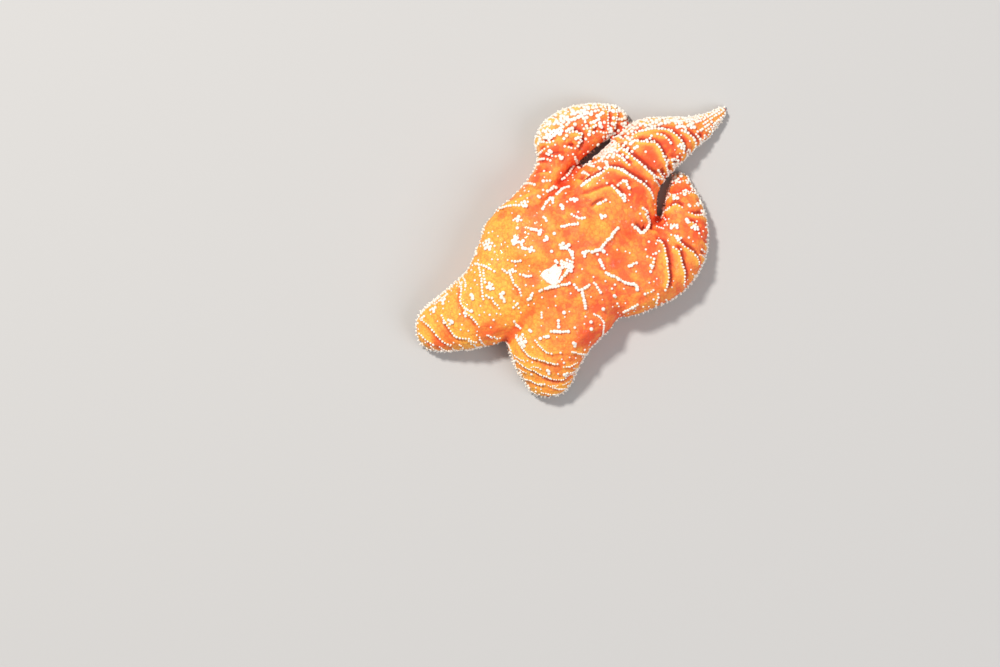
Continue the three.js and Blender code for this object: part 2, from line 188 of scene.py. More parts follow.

# Chains of spines on the back, placed in plan, in millimetres from the mouth. Each has the depth of the
# fold on its outer side, the share of it that is beaded, and its points.
CHAINS = {
    "disc": [
        (0, 1, [(-8, 12), (-5, 10), (-2, 6), (-1, 2)]),
        (0, 1, [(7, 7), (9, 9), (13, 9), (17, 10), (20, 13), (23, 16), (26, 19), (28, 22), (32, 27)]),
        (0, 1, [(17, 9), (16, 6)]),
        (0, 1, [(18, 2), (20, -1), (22, -5)]),
        (0, 1, [(23, -7), (27, -9), (31, -11), (36, -13), (41, -15), (45, -15), (45, -18)]),
        (0, 1, [(14, -14), (17, -18), (20, -22)]),
        (0, 1, [(0, -16), (3, -19), (7, -18), (11, -15)]),
        (0, 1, [(6, -19), (6, -24), (7, -29), (8, -34)]),
        (0, 1, [(-4, -1), (-6, -6), (-9, -10), (-12, -14)]),
        (0, 1, [(-26, -20), (-22, -18), (-17, -17), (-11, -16), (-6, -15), (-2, -14)]),
        (0, 1, [(-12, -42), (-12, -45), (-12, -48)]),
        (0, 1, [(-17, -50), (-11, -50), (-4, -50)]),
        (0, 1, [(-25, -55), (-22, -54), (-18, -53)]),
        (0, 1, [(-34, -26), (-32, -24), (-30, -21)]),
        (0, 1, [(-10, 27), (-5, 28), (1, 29), (5, 29)]),
        (0.4, 1, [(-2, 36), (3, 33), (9, 34)]),
        (1.2, 0.6, [(12, 40), (18, 44), (24, 47)]),
        (0, 1, [(20, 35), (22, 35), (24, 34)]),
        (0, 1, [(-23, 34), (-21, 32), (-20, 30)]),
        (0, 1, [(-34, 26), (-27, 24), (-24, 22)]),
        (0, 1, [(-22, 17), (-20, 18), (-18, 19)]),
        (0, 1, [(-38, 11), (-33, 10), (-29, 9)]),
        (0, 1, [(40, -2), (43, 0), (46, 1)]),
        (0, 1, [(37, -35), (42, -32), (47, -29)]),
        (0.6, 0.8, [(-24, 40), (-20, 46), (-14, 50), (-8, 55), (-3, 57)]),
        (0, 1, [(-16, 48), (-16, 45), (-15, 42)]),
        (0.9, 0.3, [(1, 63), (6, 61), (11, 66)]),
        (0.8, 0, [(4, 50), (11, 51), (18, 54), (24, 56), (31, 57)]),
        (0.5, 0, [(6, 44), (12, 45), (17, 48)]),
    ],
    "west": [
        (0, 1, [(-55, 41), (-48, 43), (-40, 43), (-33, 46)]),
        (0, 1, [(-45, 32), (-42, 33), (-38, 31)]),
        (0, 1, [(-46, 2), (-42, 2), (-38, 2)]),
        (0, 1, [(-40, -8), (-34, -9), (-29, -9)]),
        (0, 1, [(-53, -4), (-49, -7), (-43, -5)]),
        (0.4, 1, [(-47, -8), (-45, -14), (-41, -18), (-39, -25)]),
        (0, 1, [(-45, -32), (-43, -30), (-41, -27)]),
        (0.3, 1, [(-73, 0), (-65, -2), (-59, -6)]),
        (0.4, 1, [(-70, -3), (-68, -12), (-68, -20), (-67, -28)]),
        (0, 1, [(-67, -5), (-66, -11), (-65, -16)]),
        (0, 1, [(-82, -10), (-80, -15), (-81, -22)]),
        (0.4, 1, [(-67, -23), (-62, -25), (-59, -29), (-54, -34)]),
        (0.7, 1, [(-85, -13), (-83, -18), (-84, -26), (-82, -32), (-79, -37), (-75, -40), (-70, -47)]),
        (0.3, 1, [(-82, -31), (-79, -34), (-76, -36)]),
        (0.7, 1, [(-98, -38), (-94, -45), (-90, -51), (-86, -54), (-80, -55)]),
        (0.6, 1, [(-114, -41), (-107, -46), (-102, -52), (-97, -57), (-91, -60)]),
        (0.5, 1, [(-114, -51), (-109, -56), (-103, -60)]),
        (0, 1, [(-78, -55), (-75, -57), (-72, -58)]),
        (0.4, 1, [(-70, -54), (-69, -57), (-66, -60)]),
        (0, 1, [(-45, -42), (-42, -45), (-39, -48)]),
    ],
    "south": [
        (0, 1, [(-24, -36), (-24, -39), (-24, -41)]),
        (0.5, 0.9, [(-29, -57), (-22, -64), (-17, -66), (-9, -65)]),
        (0.6, 1, [(-2, -65), (4, -66), (10, -66), (18, -61)]),
        (0, 0.8, [(14, -37), (18, -39), (21, -43), (21, -48), (20, -53), (16, -55)]),
        (0.7, 1, [(-40, -60), (-33, -68), (-24, -71), (-18, -73), (-12, -74)]),
        (0.6, 1, [(-8, -76), (-3, -75), (3, -72)]),
        (0.8, 1, [(-43, -71), (-36, -76), (-29, -79), (-23, -82), (-15, -85), (-9, -85), (-4, -82),
                  (2, -79)]),
        (0, 0.8, [(-34, -77), (-29, -76), (-23, -78)]),
        (0.7, 1, [(-38, -85), (-34, -85), (-27, -88), (-20, -89)]),
        (0.6, 1, [(-16, -91), (-10, -92), (-3, -91)]),
        (0.3, 1, [(-24, -95), (-17, -96), (-9, -96)]),
        (0, 1, [(-50, -57), (-46, -64), (-44, -72), (-39, -84), (-33, -92), (-27, -97)]),
    ],
    "east": [
        (0.5, 1, [(54, 5), (58, 4), (58, 0), (56, -7)]),
        (0, 1, [(58, 7), (61, 8), (63, 10)]),
        (0, 1, [(52, -22), (56, -21), (59, -19)]),
        (0.5, 1, [(62, -22), (61, -27), (60, -32)]),
        (1.7, 1, [(61, 17), (65, 15), (67, 9), (68, 2), (69, -6), (69, -13), (67, -20)]),
        (1.7, 1, [(73, 12), (77, 9), (79, 1), (81, -6), (81, -16)]),
        (1.6, 1, [(76, 17), (81, 13), (87, 9), (91, 4), (92, -2)]),
        (0.6, 1, [(88, -7), (90, -10), (88, -14)]),
        (1, 1, [(95, 11), (99, 8), (100, 4)]),
        (0.4, 1, [(72, 21), (76, 20), (80, 19)]),
        (0.4, 1, [(72, 29), (76, 29), (79, 29)]),
        (1, 1, [(83, 31), (88, 30), (92, 26)]),
        (1.3, 1, [(85, 38), (90, 36), (96, 37), (100, 37)]),
        (1.3, 1, [(67, 38), (71, 41), (76, 44), (81, 41)]),
        (0.6, 1, [(70, 55), (73, 52), (77, 50)]),
        (0.4, 1, [(81, 54), (83, 53), (86, 52)]),
    ],
    "northeast": [
        (1.2, 1, [(43, 29), (46, 26), (50, 22), (54, 26), (55, 30), (54, 34), (51, 38)]),
        (1.2, 0.8, [(27, 57), (32, 53), (37, 46)]),
        (0.8, 1, [(32, 58), (37, 61), (40, 55)]),
        (0, 1, [(-9, 42), (-8, 41), (-7, 42)]),
        (0, 1, [(-3, 47), (0, 47), (4, 46)]),
        (1.3, 0.8, [(6, 57), (14, 63), (22, 68), (26, 72)]),
        (1.9, 1, [(23, 71), (32, 70), (39, 66), (46, 62), (52, 58), (56, 53), (58, 47)]),
        (0.5, 0.9, [(6, 73), (14, 74), (22, 76)]),
        (0.9, 0.8, [(25, 83), (30, 81), (36, 77), (42, 71)]),
        (2.0, 1, [(31, 90), (38, 83), (45, 77), (51, 72), (58, 66), (64, 64)]),
        (1.8, 1, [(45, 91), (52, 90), (60, 89), (64, 84), (66, 79), (69, 74)]),
        (1.4, 1, [(80, 99), (86, 96), (90, 91), (89, 86)]),
        (0.9, 0.8, [(62, 96), (68, 94), (72, 88)]),
        (1.6, 1, [(44, 96), (53, 99), (61, 100), (70, 99), (77, 94), (81, 88), (80, 82)]),
        (0.6, 1, [(70, 77), (74, 78), (78, 77)]),
        (1.2, 1, [(91, 97), (94, 92), (91, 86)]),
        (0.8, 1, [(85, 86), (87, 81), (83, 78)]),
        (0.8, 1, [(103, 102), (103, 97), (99, 92)]),
    ],
    "north": [
        (0, 1, [(-46, 44), (-39, 42), (-32, 46)]),
        (0.3, 0.8, [(-38, 59), (-34, 59), (-28, 58)]),
        (0, 1, [(-23, 61), (-20, 61), (-17, 62)]),
        (0, 1, [(-23, 54), (-19, 54), (-16, 57), (-13, 55)]),
        (0.9, 0.7, [(-34, 68), (-30, 72), (-24, 74), (-18, 74)]),
        (0.8, 0.4, [(-36, 63), (-30, 66), (-23, 67), (-17, 68)]),
        (0.8, 0.8, [(-29, 76), (-22, 78), (-15, 76)]),
        (0.8, 1, [(-28, 80), (-24, 83), (-19, 87)]),
        (1.7, 1, [(-7, 87), (0, 86), (4, 91), (4, 96), (0, 98), (-6, 96)]),
        (0.9, 1, [(-20, 82), (-16, 80), (-10, 80), (-8, 78)]),
        (1.0, 1, [(-26, 91), (-19, 90), (-12, 92)]),
        (1.2, 1, [(7, 100), (12, 101), (17, 104)]),
        (0.9, 1, [(17, 99), (22, 98), (27, 99)]),
        (0.5, 1, [(2, 76), (0, 80), (-3, 83)]),
        (0.4, 1, [(-1, 73), (-4, 68), (-7, 64), (-11, 63)]),
    ],
}

# Clusters of spines: the plan place in millimetres from the mouth, and how many.
CLUSTERS = [
    (-9, -1, 9), (-5, 0, 9), (-3, -4, 4), (-10, 13, 4), (-6, 12, 4), (-2, 8, 3), (-13, 1, 3),
    (-43, 17, 8), (-39, 15, 4), (-33, 10, 4), (-64, 14, 12), (7, 7, 4), (16, 9, 4), (-72, 9, 3),
    (-42, 33, 4), (-26, 23, 4), (-38, 44, 6), (-26, 49, 2), (-47, -6, 5), (-15, 22, 1),
    (-42, 26, 1), (-17, 9, 1), (-20, 19, 2), (20, 35, 3), (21, 9, 2), (30, -24, 2), (-9, 42, 3),
    (0, 47, 3), (-79, -36, 9), (-62, -17, 7), (-54, -23, 4), (-52, -26, 3), (-75, -24, 3),
    (-97, -28, 4), (-104, -34, 5), (-94, -43, 6), (-90, -43, 2), (-32, -50, 2), (-39, -56, 12),
    (-37, -59, 5), (-19, -79, 3), (-7, -82, 4), (0, -59, 3), (-8, -36, 1), (21, -33, 1),
    (14, -37, 1), (12, -43, 1), (12, -48, 1), (71, 59, 3), (77, 62, 7), (80, 67, 3), (84, 62, 4),
    (75, 50, 6), (82, 53, 4), (88, 57, 3), (92, 52, 1), (95, 47, 3), (86, 43, 2), (92, 44, 2),
    (96, 39, 4), (76, 28, 5), (72, 28, 3), (89, 27, 6), (84, 32, 3), (77, 18, 4), (101, 27, 2),
    (102, 20, 2), (57, -2, 4), (46, -17, 3), (79, 88, 5), (87, 103, 7), (83, 101, 4), (75, 74, 4),
    (31, 88, 8), (26, 84, 6), (95, 86, 3), (86, 81, 3), (103, 93, 3), (37, 50, 3), (11, 100, 4),
    (18, 109, 4), (27, 101, 3), (8, 107, 4), (29, 104, 2), (20, 102, 2), (18, 89, 3), (-17, 83, 2),
    (-10, 80, 3), (-1, 81, 2), (11, 74, 4), (4, 71, 2), (24, 75, 3), (8, 67, 2), (17, 80, 3),
    (19, 70, 2), (-27, 88, 4), (-31, 79, 3),
]

# Soft patches of colour, partly the star's own tone and partly painted light and shade (yellower on sides
# towards the key lamp, redder on flanks in shade): the plan place and the reach in millimetres, and how
# much yellower (below 0) or redder (above 0) the star is painted there.
TONE_LIGHT_AND_SHADE_PATCHES = [
    (-60, 24, 22, -0.8), (-66, 3, 16, -0.6), (-54, -15, 14, -0.9), (-32, -69, 17, -0.8),
    (-28, -91, 10, -0.4), (12, 55, 10, -0.5), (17, 27, 11, -0.8), (61, -25, 14, -0.4),
    (16, -53, 16, 0.9), (56, 18, 14, 0.6), (64, 30, 9, 0.8), (-13, -36, 14, 0.4),
    (-64, -51, 13, 0.8), (-98, -58, 12, 0.6), (8, 87, 12, 1.2), (24, 93, 10, 1.2),
    (23, 105, 8, 0.9), (-15, 80, 13, 0.8), (-28, 68, 12, 0.8), (-10, 63, 9, 0.7), (-4, 46, 11, 0.7),
    (47, 52, 14, 0.9), (27, 65, 7, 0.7), (25, 77, 9, 0.4), (54, 76, 12, 0.9), (69, 89, 9, 0.9),
    (84, 88, 8, 0.7), (-31, 40, 9, 0.7), (96, 26, 12, 0.8), (80, 56, 10, 0.6), (0, -5, 16, 0.3),
    (31, 3, 11, 0.7), (3, 41, 7, 0.5), (14, 48, 8, -0.9), (-20, 60, 12, 0.4),
]

# Each arm's flank ridges: how far from the mouth they start, their wide and tight spacing, their
# bow and fold in millimetres, the share of the arm's length beyond which they cross its back,
# and whether its right is bare.
FLANKS = {
    "west": (82, 8, 6, 6, 0.8, 1, True),
    "south": (68, 8, 5.5, 9, 0.8, 0.9, False),
    "east": (94, 9, 8, 5, 1.8, 0.86, False),
    "northeast": (62, 10, 7, 8, 2.2, 1, False),
    "north": (92, 9, 7, 6, 1.3, 0.9, True),
}

# Rows of rods down an arm's flank: which side (1 is its left), the angles of the rows, the
# shares of the arm's length that they run between, the rods' radius, their height in radii,
# and the share of each row that is filled.
MARGINS = [
    ("west", -1, (78, 90, 102), 0.36, 1.0, 0.95, 1.6, 0.65),
    ("west", -1, (52, 66), 0.6, 1.0, 1.05, 1.2, 0.35),
    ("west", 1, (84, 95, 105), 0.6, 1.0, 0.95, 1.6, 0.9),
    ("south", -1, (76, 87, 98, 107), 0.5, 1.0, 0.95, 1.5, 0.85),
    ("south", 1, (88, 98, 107), 0.5, 1.0, 0.9, 1.6, 0.85),
    ("east", 1, (84, 95, 105), 0.6, 1.0, 0.95, 1.6, 0.75),
    ("east", -1, (78, 88, 98, 106), 0.42, 1.0, 0.95, 1.7, 0.7),
    ("northeast", 1, (44, 52, 60, 68, 76, 85, 94, 103), 0.44, 0.84, 1.5, 1.2, 0.88),
    ("northeast", 1, (20, 36, 52, 68, 80, 92, 104), 0.84, 1.0, 1.05, 1.3, 0.85),
    ("northeast", 1, (18, 32), 0.5, 0.84, 1.4, 1.1, 0.5),
    ("northeast", -1, (2, 20, 38, 54), 0.84, 1.0, 1.0, 1.3, 0.7),
    ("northeast", -1, (88, 98, 106), 0.55, 0.84, 1.1, 1.4, 0.8),
    ("northeast", -1, (68, 78, 88, 98, 106), 0.84, 1.0, 1.0, 1.4, 0.85),
    ("north", 1, (44, 52, 60, 68, 76, 85, 94, 103), 0.58, 1.0, 1.6, 1.5, 0.95),
    ("north", 1, (95, 105), 0.3, 0.58, 0.95, 1.5, 0.5),
    ("north", 1, (72, 83), 0.3, 0.56, 1.1, 1.2, 0.3),
    ("north", 1, (28, 36), 0.6, 1.0, 1.6, 1.2, 0.9),
    ("north", 1, (2, 11, 20), 0.66, 1.0, 1.6, 1.2, 0.62),
    ("north", -1, (9, 20, 32), 0.7, 1.0, 1.4, 1.2, 0.5),
    ("north", -1, (44, 56, 68, 80), 0.84, 1.0, 1.2, 1.3, 0.7),
]

# ---- Mesh helpers -------------------------------------------------------------------------


def object_from(name, mesh, material):
    """A finished piece that rides on the body and takes its finish from a slot."""
    piece = bpy.data.objects.new(name, mesh)
    bpy.context.scene.collection.objects.link(piece)
    mesh.materials.clear()
    mesh.materials.append(material)
    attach(piece, "root")
    return piece


def smooth_faces(mesh):
    mesh.polygons.foreach_set("use_smooth", [True] * len(mesh.polygons))


def mesh_from(blank, name):
    """A finished bmesh as a mesh."""
    mesh = bpy.data.meshes.new(name)
    blank.to_mesh(mesh)
    blank.free()
    smooth_faces(mesh)
    return mesh


def spun(profile, middle, segments, merged):
    """A profile of radius and height turned about an upright axis."""
    blank = bmesh.new()
    line = [blank.verts.new((middle.x + radius, middle.y, rise)) for radius, rise in profile]
    edges = [blank.edges.new(pair) for pair in zip(line, line[1:])]
    centre = (middle.x, middle.y, 0)
    bmesh.ops.spin(blank, geom=line + edges, axis=UP, cent=centre, angle=2 * math.pi, steps=segments)
    bmesh.ops.remove_doubles(blank, verts=blank.verts, dist=merged)
    bmesh.ops.recalc_face_normals(blank, faces=blank.faces)
    return blank


def arrays_of(mesh):
    """The mesh's vertex places and normals."""
    places = np.empty(len(mesh.vertices) * 3)
    normals = np.empty(len(mesh.vertices) * 3)
    mesh.vertices.foreach_get("co", places)
    mesh.vertices.foreach_get("normal", normals)
    return places.reshape(-1, 3), normals.reshape(-1, 3)


def put_back(mesh, places):
    mesh.vertices.foreach_set("co", places.ravel())
    mesh.update()


def edges_of(mesh):
    pairs = np.empty(len(mesh.edges) * 2, dtype=np.int64)
    mesh.edges.foreach_get("vertices", pairs)
    return pairs.reshape(-1, 2)


def relaxed(values, pairs, rounds, share=0.5):
    """Values at the vertices, moved again and again towards the mean of their neighbours."""
    count = len(values)
    ends = np.concatenate([pairs, pairs[:, ::-1]])
    neighbours = np.maximum(np.bincount(ends[:, 0], minlength=count), 1)
    columns = values.reshape(count, -1).copy()
    for _ in range(rounds):
        for column in columns.T:
            mean = np.bincount(ends[:, 0], weights=column[ends[:, 1]], minlength=count) / neighbours
            column += share * (mean - column)
    return columns.reshape(values.shape)


def attribute(mesh, name, values):
    mesh.attributes.new(name, "FLOAT", "POINT").data.foreach_set("value", np.asarray(values, np.float32))


def tree_of(mesh):
    solid = bmesh.new()
    solid.from_mesh(mesh)
    tree = BVHTree.FromBMesh(solid)
    solid.free()
    return tree


def eased(values, low, high):
    """0 below low, 1 above high, and a smooth step between."""
    t = np.clip((values - low) / (high - low), 0, 1)
    return t * t * (3 - 2 * t)


def evenly(points, step):
    """Places at even steps along a line of points."""
    along = np.concatenate([[0], np.cumsum(np.linalg.norm(np.diff(points, axis=0), axis=1))])
    even = np.arange(0, along[-1], step)
    return np.stack([np.interp(even, along, column) for column in points.T], axis=1)


def shake(draw, amount):
    """A small random offset."""
    return Vector([draw.gauss(0, amount) for _ in range(3)])


def runs(draw, share, filled, bare):
    """Flags for places in a row, without end: runs of True that take up the share, and gaps."""
    while True:
        on = draw.random() < share
        for _ in range(draw.randint(*(filled if on else bare))):
            yield on


# ---- Skin blank ---------------------------------------------------------------------------


def joined_flesh():
    """The nodes of flesh in one mesh, each grown a little."""
    flesh = bmesh.new()
    for name in FLESH:
        node = bmesh.new()
        node.from_mesh(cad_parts[name].data)
        bmesh.ops.remove_doubles(node, verts=node.verts, dist=0.001 * MM)
        node.normal_update()
        for vertex in node.verts:
            vertex.co += vertex.normal * GROWTH
        mesh = mesh_from(node, "node_copy")
        flesh.from_mesh(mesh)
        bpy.data.meshes.remove(mesh)
    return mesh_from(flesh, "flesh")


def remeshed(mesh, voxel):
    """The mesh's outer surface in even faces."""
    blank = bpy.data.objects.new("blank", mesh)
    bpy.context.scene.collection.objects.link(blank)
    remesh = blank.modifiers.new("remesh", "REMESH")
    remesh.mode = "VOXEL"
    remesh.voxel_size = voxel
    graph = bpy.context.evaluated_depsgraph_get()
    made = bpy.data.meshes.new_from_object(blank.evaluated_get(graph))
    bpy.data.objects.remove(blank)
    return made


def skin_blank():
    """One smooth skin, inside the solids by the coat's depth, with the grooves beneath kept, and
    the surface of the joined flesh that it was made from."""
    mesh = remeshed(joined_flesh(), VOXEL)
    pairs = edges_of(mesh)
    places, _ = arrays_of(mesh)
    put_back(mesh, relaxed(places, pairs, 6))
    hull = tree_of(mesh)
    places, _ = arrays_of(mesh)
    above = 0.5 * eased(places[:, 2], 2 * MM, 9 * MM)
    put_back(mesh, relaxed(places, pairs, EASING, above))
    for rounds in (60, 10):
        places, normals = arrays_of(mesh)
        away = np.empty(len(places))
        for i, place in enumerate(places):
            nearest, normal, _, distance = hull.find_nearest(place)
            away[i] = distance if (Vector(place) - nearest).dot(normal) > 0 else -distance
        move = relaxed(-COAT - GROWTH - away, pairs, rounds)
        put_back(mesh, places + normals * move[:, None])
    places, _ = arrays_of(mesh)
    put_back(mesh, relaxed(places, pairs, 3))
    return mesh, hull


# ---- The arms' paths ----------------------------------------------------------------------


def middle_of(node):
    """The centre of volume of a CAD node."""
    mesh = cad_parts[node].data
    mesh.calc_loop_triangles()
    volume, moment = 0.0, Vector()
    for triangle in mesh.loop_triangles:
        a, b, c = (mesh.vertices[i].co for i in triangle.vertices)
        share = a.dot(b.cross(c))
        volume += share
        moment += share * (a + b + c) / 4
    return moment / volume


def box_middle(node):
    low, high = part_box(node)
    return (low + high) / 2


def smooth_path(points, step):
    """Points at even steps along a smooth curve through the given ones."""
    ends = [2 * points[0] - points[1]] + points + [2 * points[-1] - points[-2]]
    fine = []
    for before, start, end, after in zip(ends, ends[1:], ends[2:], ends[3:]):
        for t in np.linspace(0, 1, 40, endpoint=False):
            bend = 2 * before - 5 * start + 4 * end - after
            twist = 3 * start - before - 3 * end + after
            fine.append(0.5 * (2 * start + (end - before) * t + bend * t**2 + twist * t**3))
    return evenly(np.array(fine + [points[-1]]), step)


class Arm:
    """An arm's path from the mouth to its eyespot, inside the body. A place on the skin is given
    by the distance along the path and the angle round it: 0 is up, and 90 is the arm's left."""

    def __init__(self, name, skin):
        self.name = name
        self.skin = skin
        points = [box_middle("mouth")] + [middle_of(f"arm_{name}_{part}") for part in LENGTHS]
        points.append(box_middle(f"eyespot_{name}"))
        plan = smooth_path([np.array(p.xy) for p in points], PATH_STEP)
        level = []
        for x, y in plan:
            top, *_ = skin.ray_cast(Vector((x, y, 1)), -UP)
            level.append(0.45 * top.z if top else level[-1])
        self.path = np.column_stack([plan, level])
        self.length = len(plan) * PATH_STEP
        heading = np.gradient(plan, axis=0)
        self.heading = heading / np.linalg.norm(heading, axis=1)[:, None]

    def at(self, along):
        """The path's place, heading and left at a distance from the mouth."""
        i = min(max(int(along / PATH_STEP), 0), len(self.path) - 1)
        x, y = self.heading[i]
        return Vector(self.path[i]), Vector((x, y, 0)), Vector((-y, x, 0))

    def on_skin(self, along, angle):
        """The skin's place and normal there, or None where it is another arm's."""
        place, _, left = self.at(along)
        turn = math.radians(angle)
        hit, normal, *_ = self.skin.ray_cast(place, left * math.sin(turn) + UP * math.cos(turn))
        if hit is None or normal.z < -0.6 or abs((hit - place).dot(left)) > HALF_WIDTH:
            return None
        if (hit - mouth_at).to_2d().length < NOTCHES and arm_of(hit) is not self:
            return None
        return hit, normal

    def nearest(self, place):
        return int(np.argmin(((self.path[:, :2] - np.array(place.xy)) ** 2).sum(1)))

    def gap_to(self, place):
        return math.dist(self.path[self.nearest(place)][:2], place.xy)

    def heading_near(self, place):
        x, y = self.heading[self.nearest(place)]
        return Vector((x, y, 0))

    def share_and_angle(self, place):
        """Where a place on the skin lies: its share of the arm's length, and its angle."""
        i = self.nearest(place)
        start, _, left = self.at(i * PATH_STEP)
        away = place - start
        return i / len(self.path), math.degrees(math.atan2(away.dot(left), away.z))


def arm_of(place):
    """The arm whose path runs nearest to a place."""
    return min(arms.values(), key=lambda arm: arm.gap_to(place))


def in_notch(place):
    """Whether a place lies in the crease between two arms."""
    near, next_near = sorted(arm.gap_to(place) for arm in arms.values())[:2]
    return near > 0.8 * next_near and SHOULDERS < (place - mouth_at).to_2d().length < NOTCHES


# ---- Ridges of the back -------------------------------------------------------------------


class Ridge:
    """A line on the skin that stands up as a crest. The skin folds under it on the side that it
    leans to, by the depth of its fold. beads is the share of it that carries spines, bead their
    radius and step the way from one to the next."""

    def __init__(self, places, lean, height, fold, beads, bead, step):
        self.places = np.array(places)
        self.lean = np.array(lean)
        self.height = height
        self.fold = fold
        self.beads = beads
        self.bead = bead
        self.step = step
        ends = np.minimum(np.arange(len(places)), np.arange(len(places))[::-1])
        self.strength = eased(ends, -2, 5)


def on_back(x, y):
    """The smooth skin's place and normal, seen from above."""
    hit, normal, *_ = smooth_skin.ray_cast(Vector((x, y, 1)), -UP)
    return hit, normal


def chain_ridge(arm, sizes, fold, beads, points):
    """A ridge through given points, in millimetres from the mouth."""
    plan = [np.array([mouth_at.x + x * MM, mouth_at.y + y * MM]) for x, y in points]
    places, lean = [], []
    line = smooth_path(plan, CHAIN_STEP)
    for (x, y), (along_x, along_y) in zip(line, np.gradient(line, axis=0)):
        hit, normal = on_back(x, y)
        if hit is None:
            continue
        side = normal.cross(Vector((along_x, along_y, 0))).normalized()
        outward = arm.heading_near(hit) if arm else hit - mouth_at
        places.append(hit)
        lean.append(side if side.dot(outward) > 0 else -side)
    bead, step = sizes
    return Ridge(places, lean, CREST, FOLDING * fold * MM, beads, bead * MM, step * MM)


def across(arm, along, left, right, bow, fold, beads):
    """A ridge across an arm from one angle to another, bowed towards the tip, or None where too
    little of it lies on the arm."""
    places, lean = [], []
    for angle in np.arange(left, right, -2.5):
        spot = arm.on_skin(along - bow * (angle / 90) ** 2, angle)
        if spot:
            _, heading, _ = arm.at(along)
            places.append(spot[0])
            lean.append((heading - spot[1] * heading.dot(spot[1])).normalized())
    bead, step = (FLANK_BEADS * size * MM for size in BEADS[arm.name])
    return Ridge(places, lean, FLANK_CREST, fold, beads, bead, step) if len(places) > 5 else None


def flank_ridges(arm, draw, start, wide, tight, bow, fold, bare_back, bare_right):
    """Ridges down both flanks of an arm, closer together towards its tip. They cross the back of
    the arm beyond bare_back. With bare_right there are none on its right."""
    ridges = []
    along = start
    while along < arm.length - 3 * MM:
        share = along / arm.length
        depth = fold * eased(share, 0.15, 0.4) * draw.uniform(0.5, 1.2) * (1 - 0.6 * eased(share, 0.8, 1))
        left_flank = (draw.uniform(95, 112), draw.uniform(48, 60))
        right_flank = (-draw.uniform(48, 60), -draw.uniform(95, 112))
        spans = [left_flank] if bare_right else [left_flank, right_flank]
        if share > bare_back:
            spans = [(draw.uniform(70, 112), -draw.uniform(70, 112))]
        for left, right in spans:
            shift = draw.uniform(-1, 1) * MM
            made = across(arm, along + shift, left, right, bow * share, depth, 0.55 + 0.25 * share)
            if made:
                ridges.append(made)
        along += (wide + (tight - wide) * share) * draw.uniform(0.85, 1.15)
    return ridges


def relief(places, ridges):
    """How far each vertex rises, how much of it is crest and crease, and the painted light and shade of
    the folds: yellower painted light, below 0, on the back of a crest and redder painted shade, above 0,
    under it."""
    rise, crest, crease, warmth = np.zeros((4, len(places)))
    for ridge in ridges:
        low, high = ridge.places.min(0) - RIDGE_REACH, ridge.places.max(0) + RIDGE_REACH
        near = np.flatnonzero(((places > low) & (places < high)).all(1))
        gap = places[near][:, None, :] - ridge.places[None]
        squares = (gap**2).sum(2)
        closest = squares.argmin(1)
        row = np.arange(len(near))
        away = np.sqrt(squares[row, closest])
        ahead = (gap[row, closest] * ridge.lean[closest]).sum(1)
        beside = np.sqrt(np.maximum(away**2 - ahead**2, 0))
        strength = ridge.strength[closest]
        held = strength * np.exp(-((beside / RIDGE_ENDS) ** 2))
        top = strength * np.exp(-((away / CREST_WIDTH) ** 2))
        swell = np.where(ahead < 0, np.exp(ahead / BACK_SLOPE), np.exp(-((ahead / FRONT_SLOPE) ** 2)))
        behind = swell * held
        gutter = (ahead - CREASE_AHEAD - 0.25 * ridge.fold) / (CREASE_WIDTH + 0.3 * ridge.fold)
        under = np.exp(-(gutter**2)) * held
        deep = min(ridge.fold / (1.5 * MM), 1)
        wide = strength * np.exp(-((beside / FOLD_SHADE_ENDS) ** 2)) * deep
        # painted shade just ahead of the crest, painted light behind it
        redder = eased(ahead, 0, 1.5 * MM) * np.exp(-np.maximum(ahead, 0) / (5 * MM))
        yellower = np.where(ahead < 0.5 * MM, np.exp(np.minimum(ahead, 0) / (4 * MM)), 0)
        rise[near] += ridge.height * top + ridge.fold * (0.5 * behind - 0.85 * under)
        crest[near] = np.maximum(crest[near], top)
        # crease marks where the folds' dark painted shade goes
        crease[near] = np.maximum(crease[near], under * deep)
        warmth[near] += (redder - 0.6 * yellower) * wide
    return rise, crest, crease, warmth


def patches(places):
    """Soft patches of colour, partly own tone and partly painted light and shade: yellower where below 0,
    redder where above.
    """
    warmth = np.zeros(len(places))
    wander = noise_at(places, 60, 5) * 5 * MM
    for x, y, reach, amount in TONE_LIGHT_AND_SHADE_PATCHES:
        away = np.hypot(places[:, 0] - mouth_at.x - x * MM, places[:, 1] - mouth_at.y - y * MM)
        warmth += amount * (1 - eased(away + wander, 0.2 * reach * MM, 1.2 * reach * MM))
    return warmth


def noise_at(places, scale, seed):
    shift = Vector((seed * 7.3, seed * 3.1, seed * 5.7))
    return np.array([noise.noise(Vector(place) * scale + shift) for place in places])


def spread(places, order, gap):
    """Places taken in the given order, none nearer to another than the gap."""
    taken = Roots(gap)
    kept = []
    for i in order:
        place = Vector(places[i])
        if taken.free(place, gap):
            taken.take(place)
            kept.append(place)
    return kept


def pebbles(places, draw):
    """How near each vertex lies to the middle of its pebble, from 0 on the edge to 1, and the
    pebble's own tone."""
    order = list(range(len(places)))
    draw.shuffle(order)
    small = noise_at(places, 70, 4) > 0.1
    seeds = spread(places, [i for i in order if not small[i]], WIDE_PEBBLES)
    seeds += spread(places, [i for i in order if small[i]], SMALL_PEBBLES)
    cells = KDTree(len(seeds))
    for i, place in enumerate(seeds):
        cells.insert(place, i)
    cells.balance()
    tones = [draw.random() for _ in seeds]
    inside, tone = np.empty((2, len(places)))
    for i, place in enumerate(places):
        (_, own, first), (_, _, second) = cells.find_n(place, 2)
        inside[i] = (second - first) / (second + first)
        tone[i] = tones[own]
    return eased(inside, 0, 0.35), tone


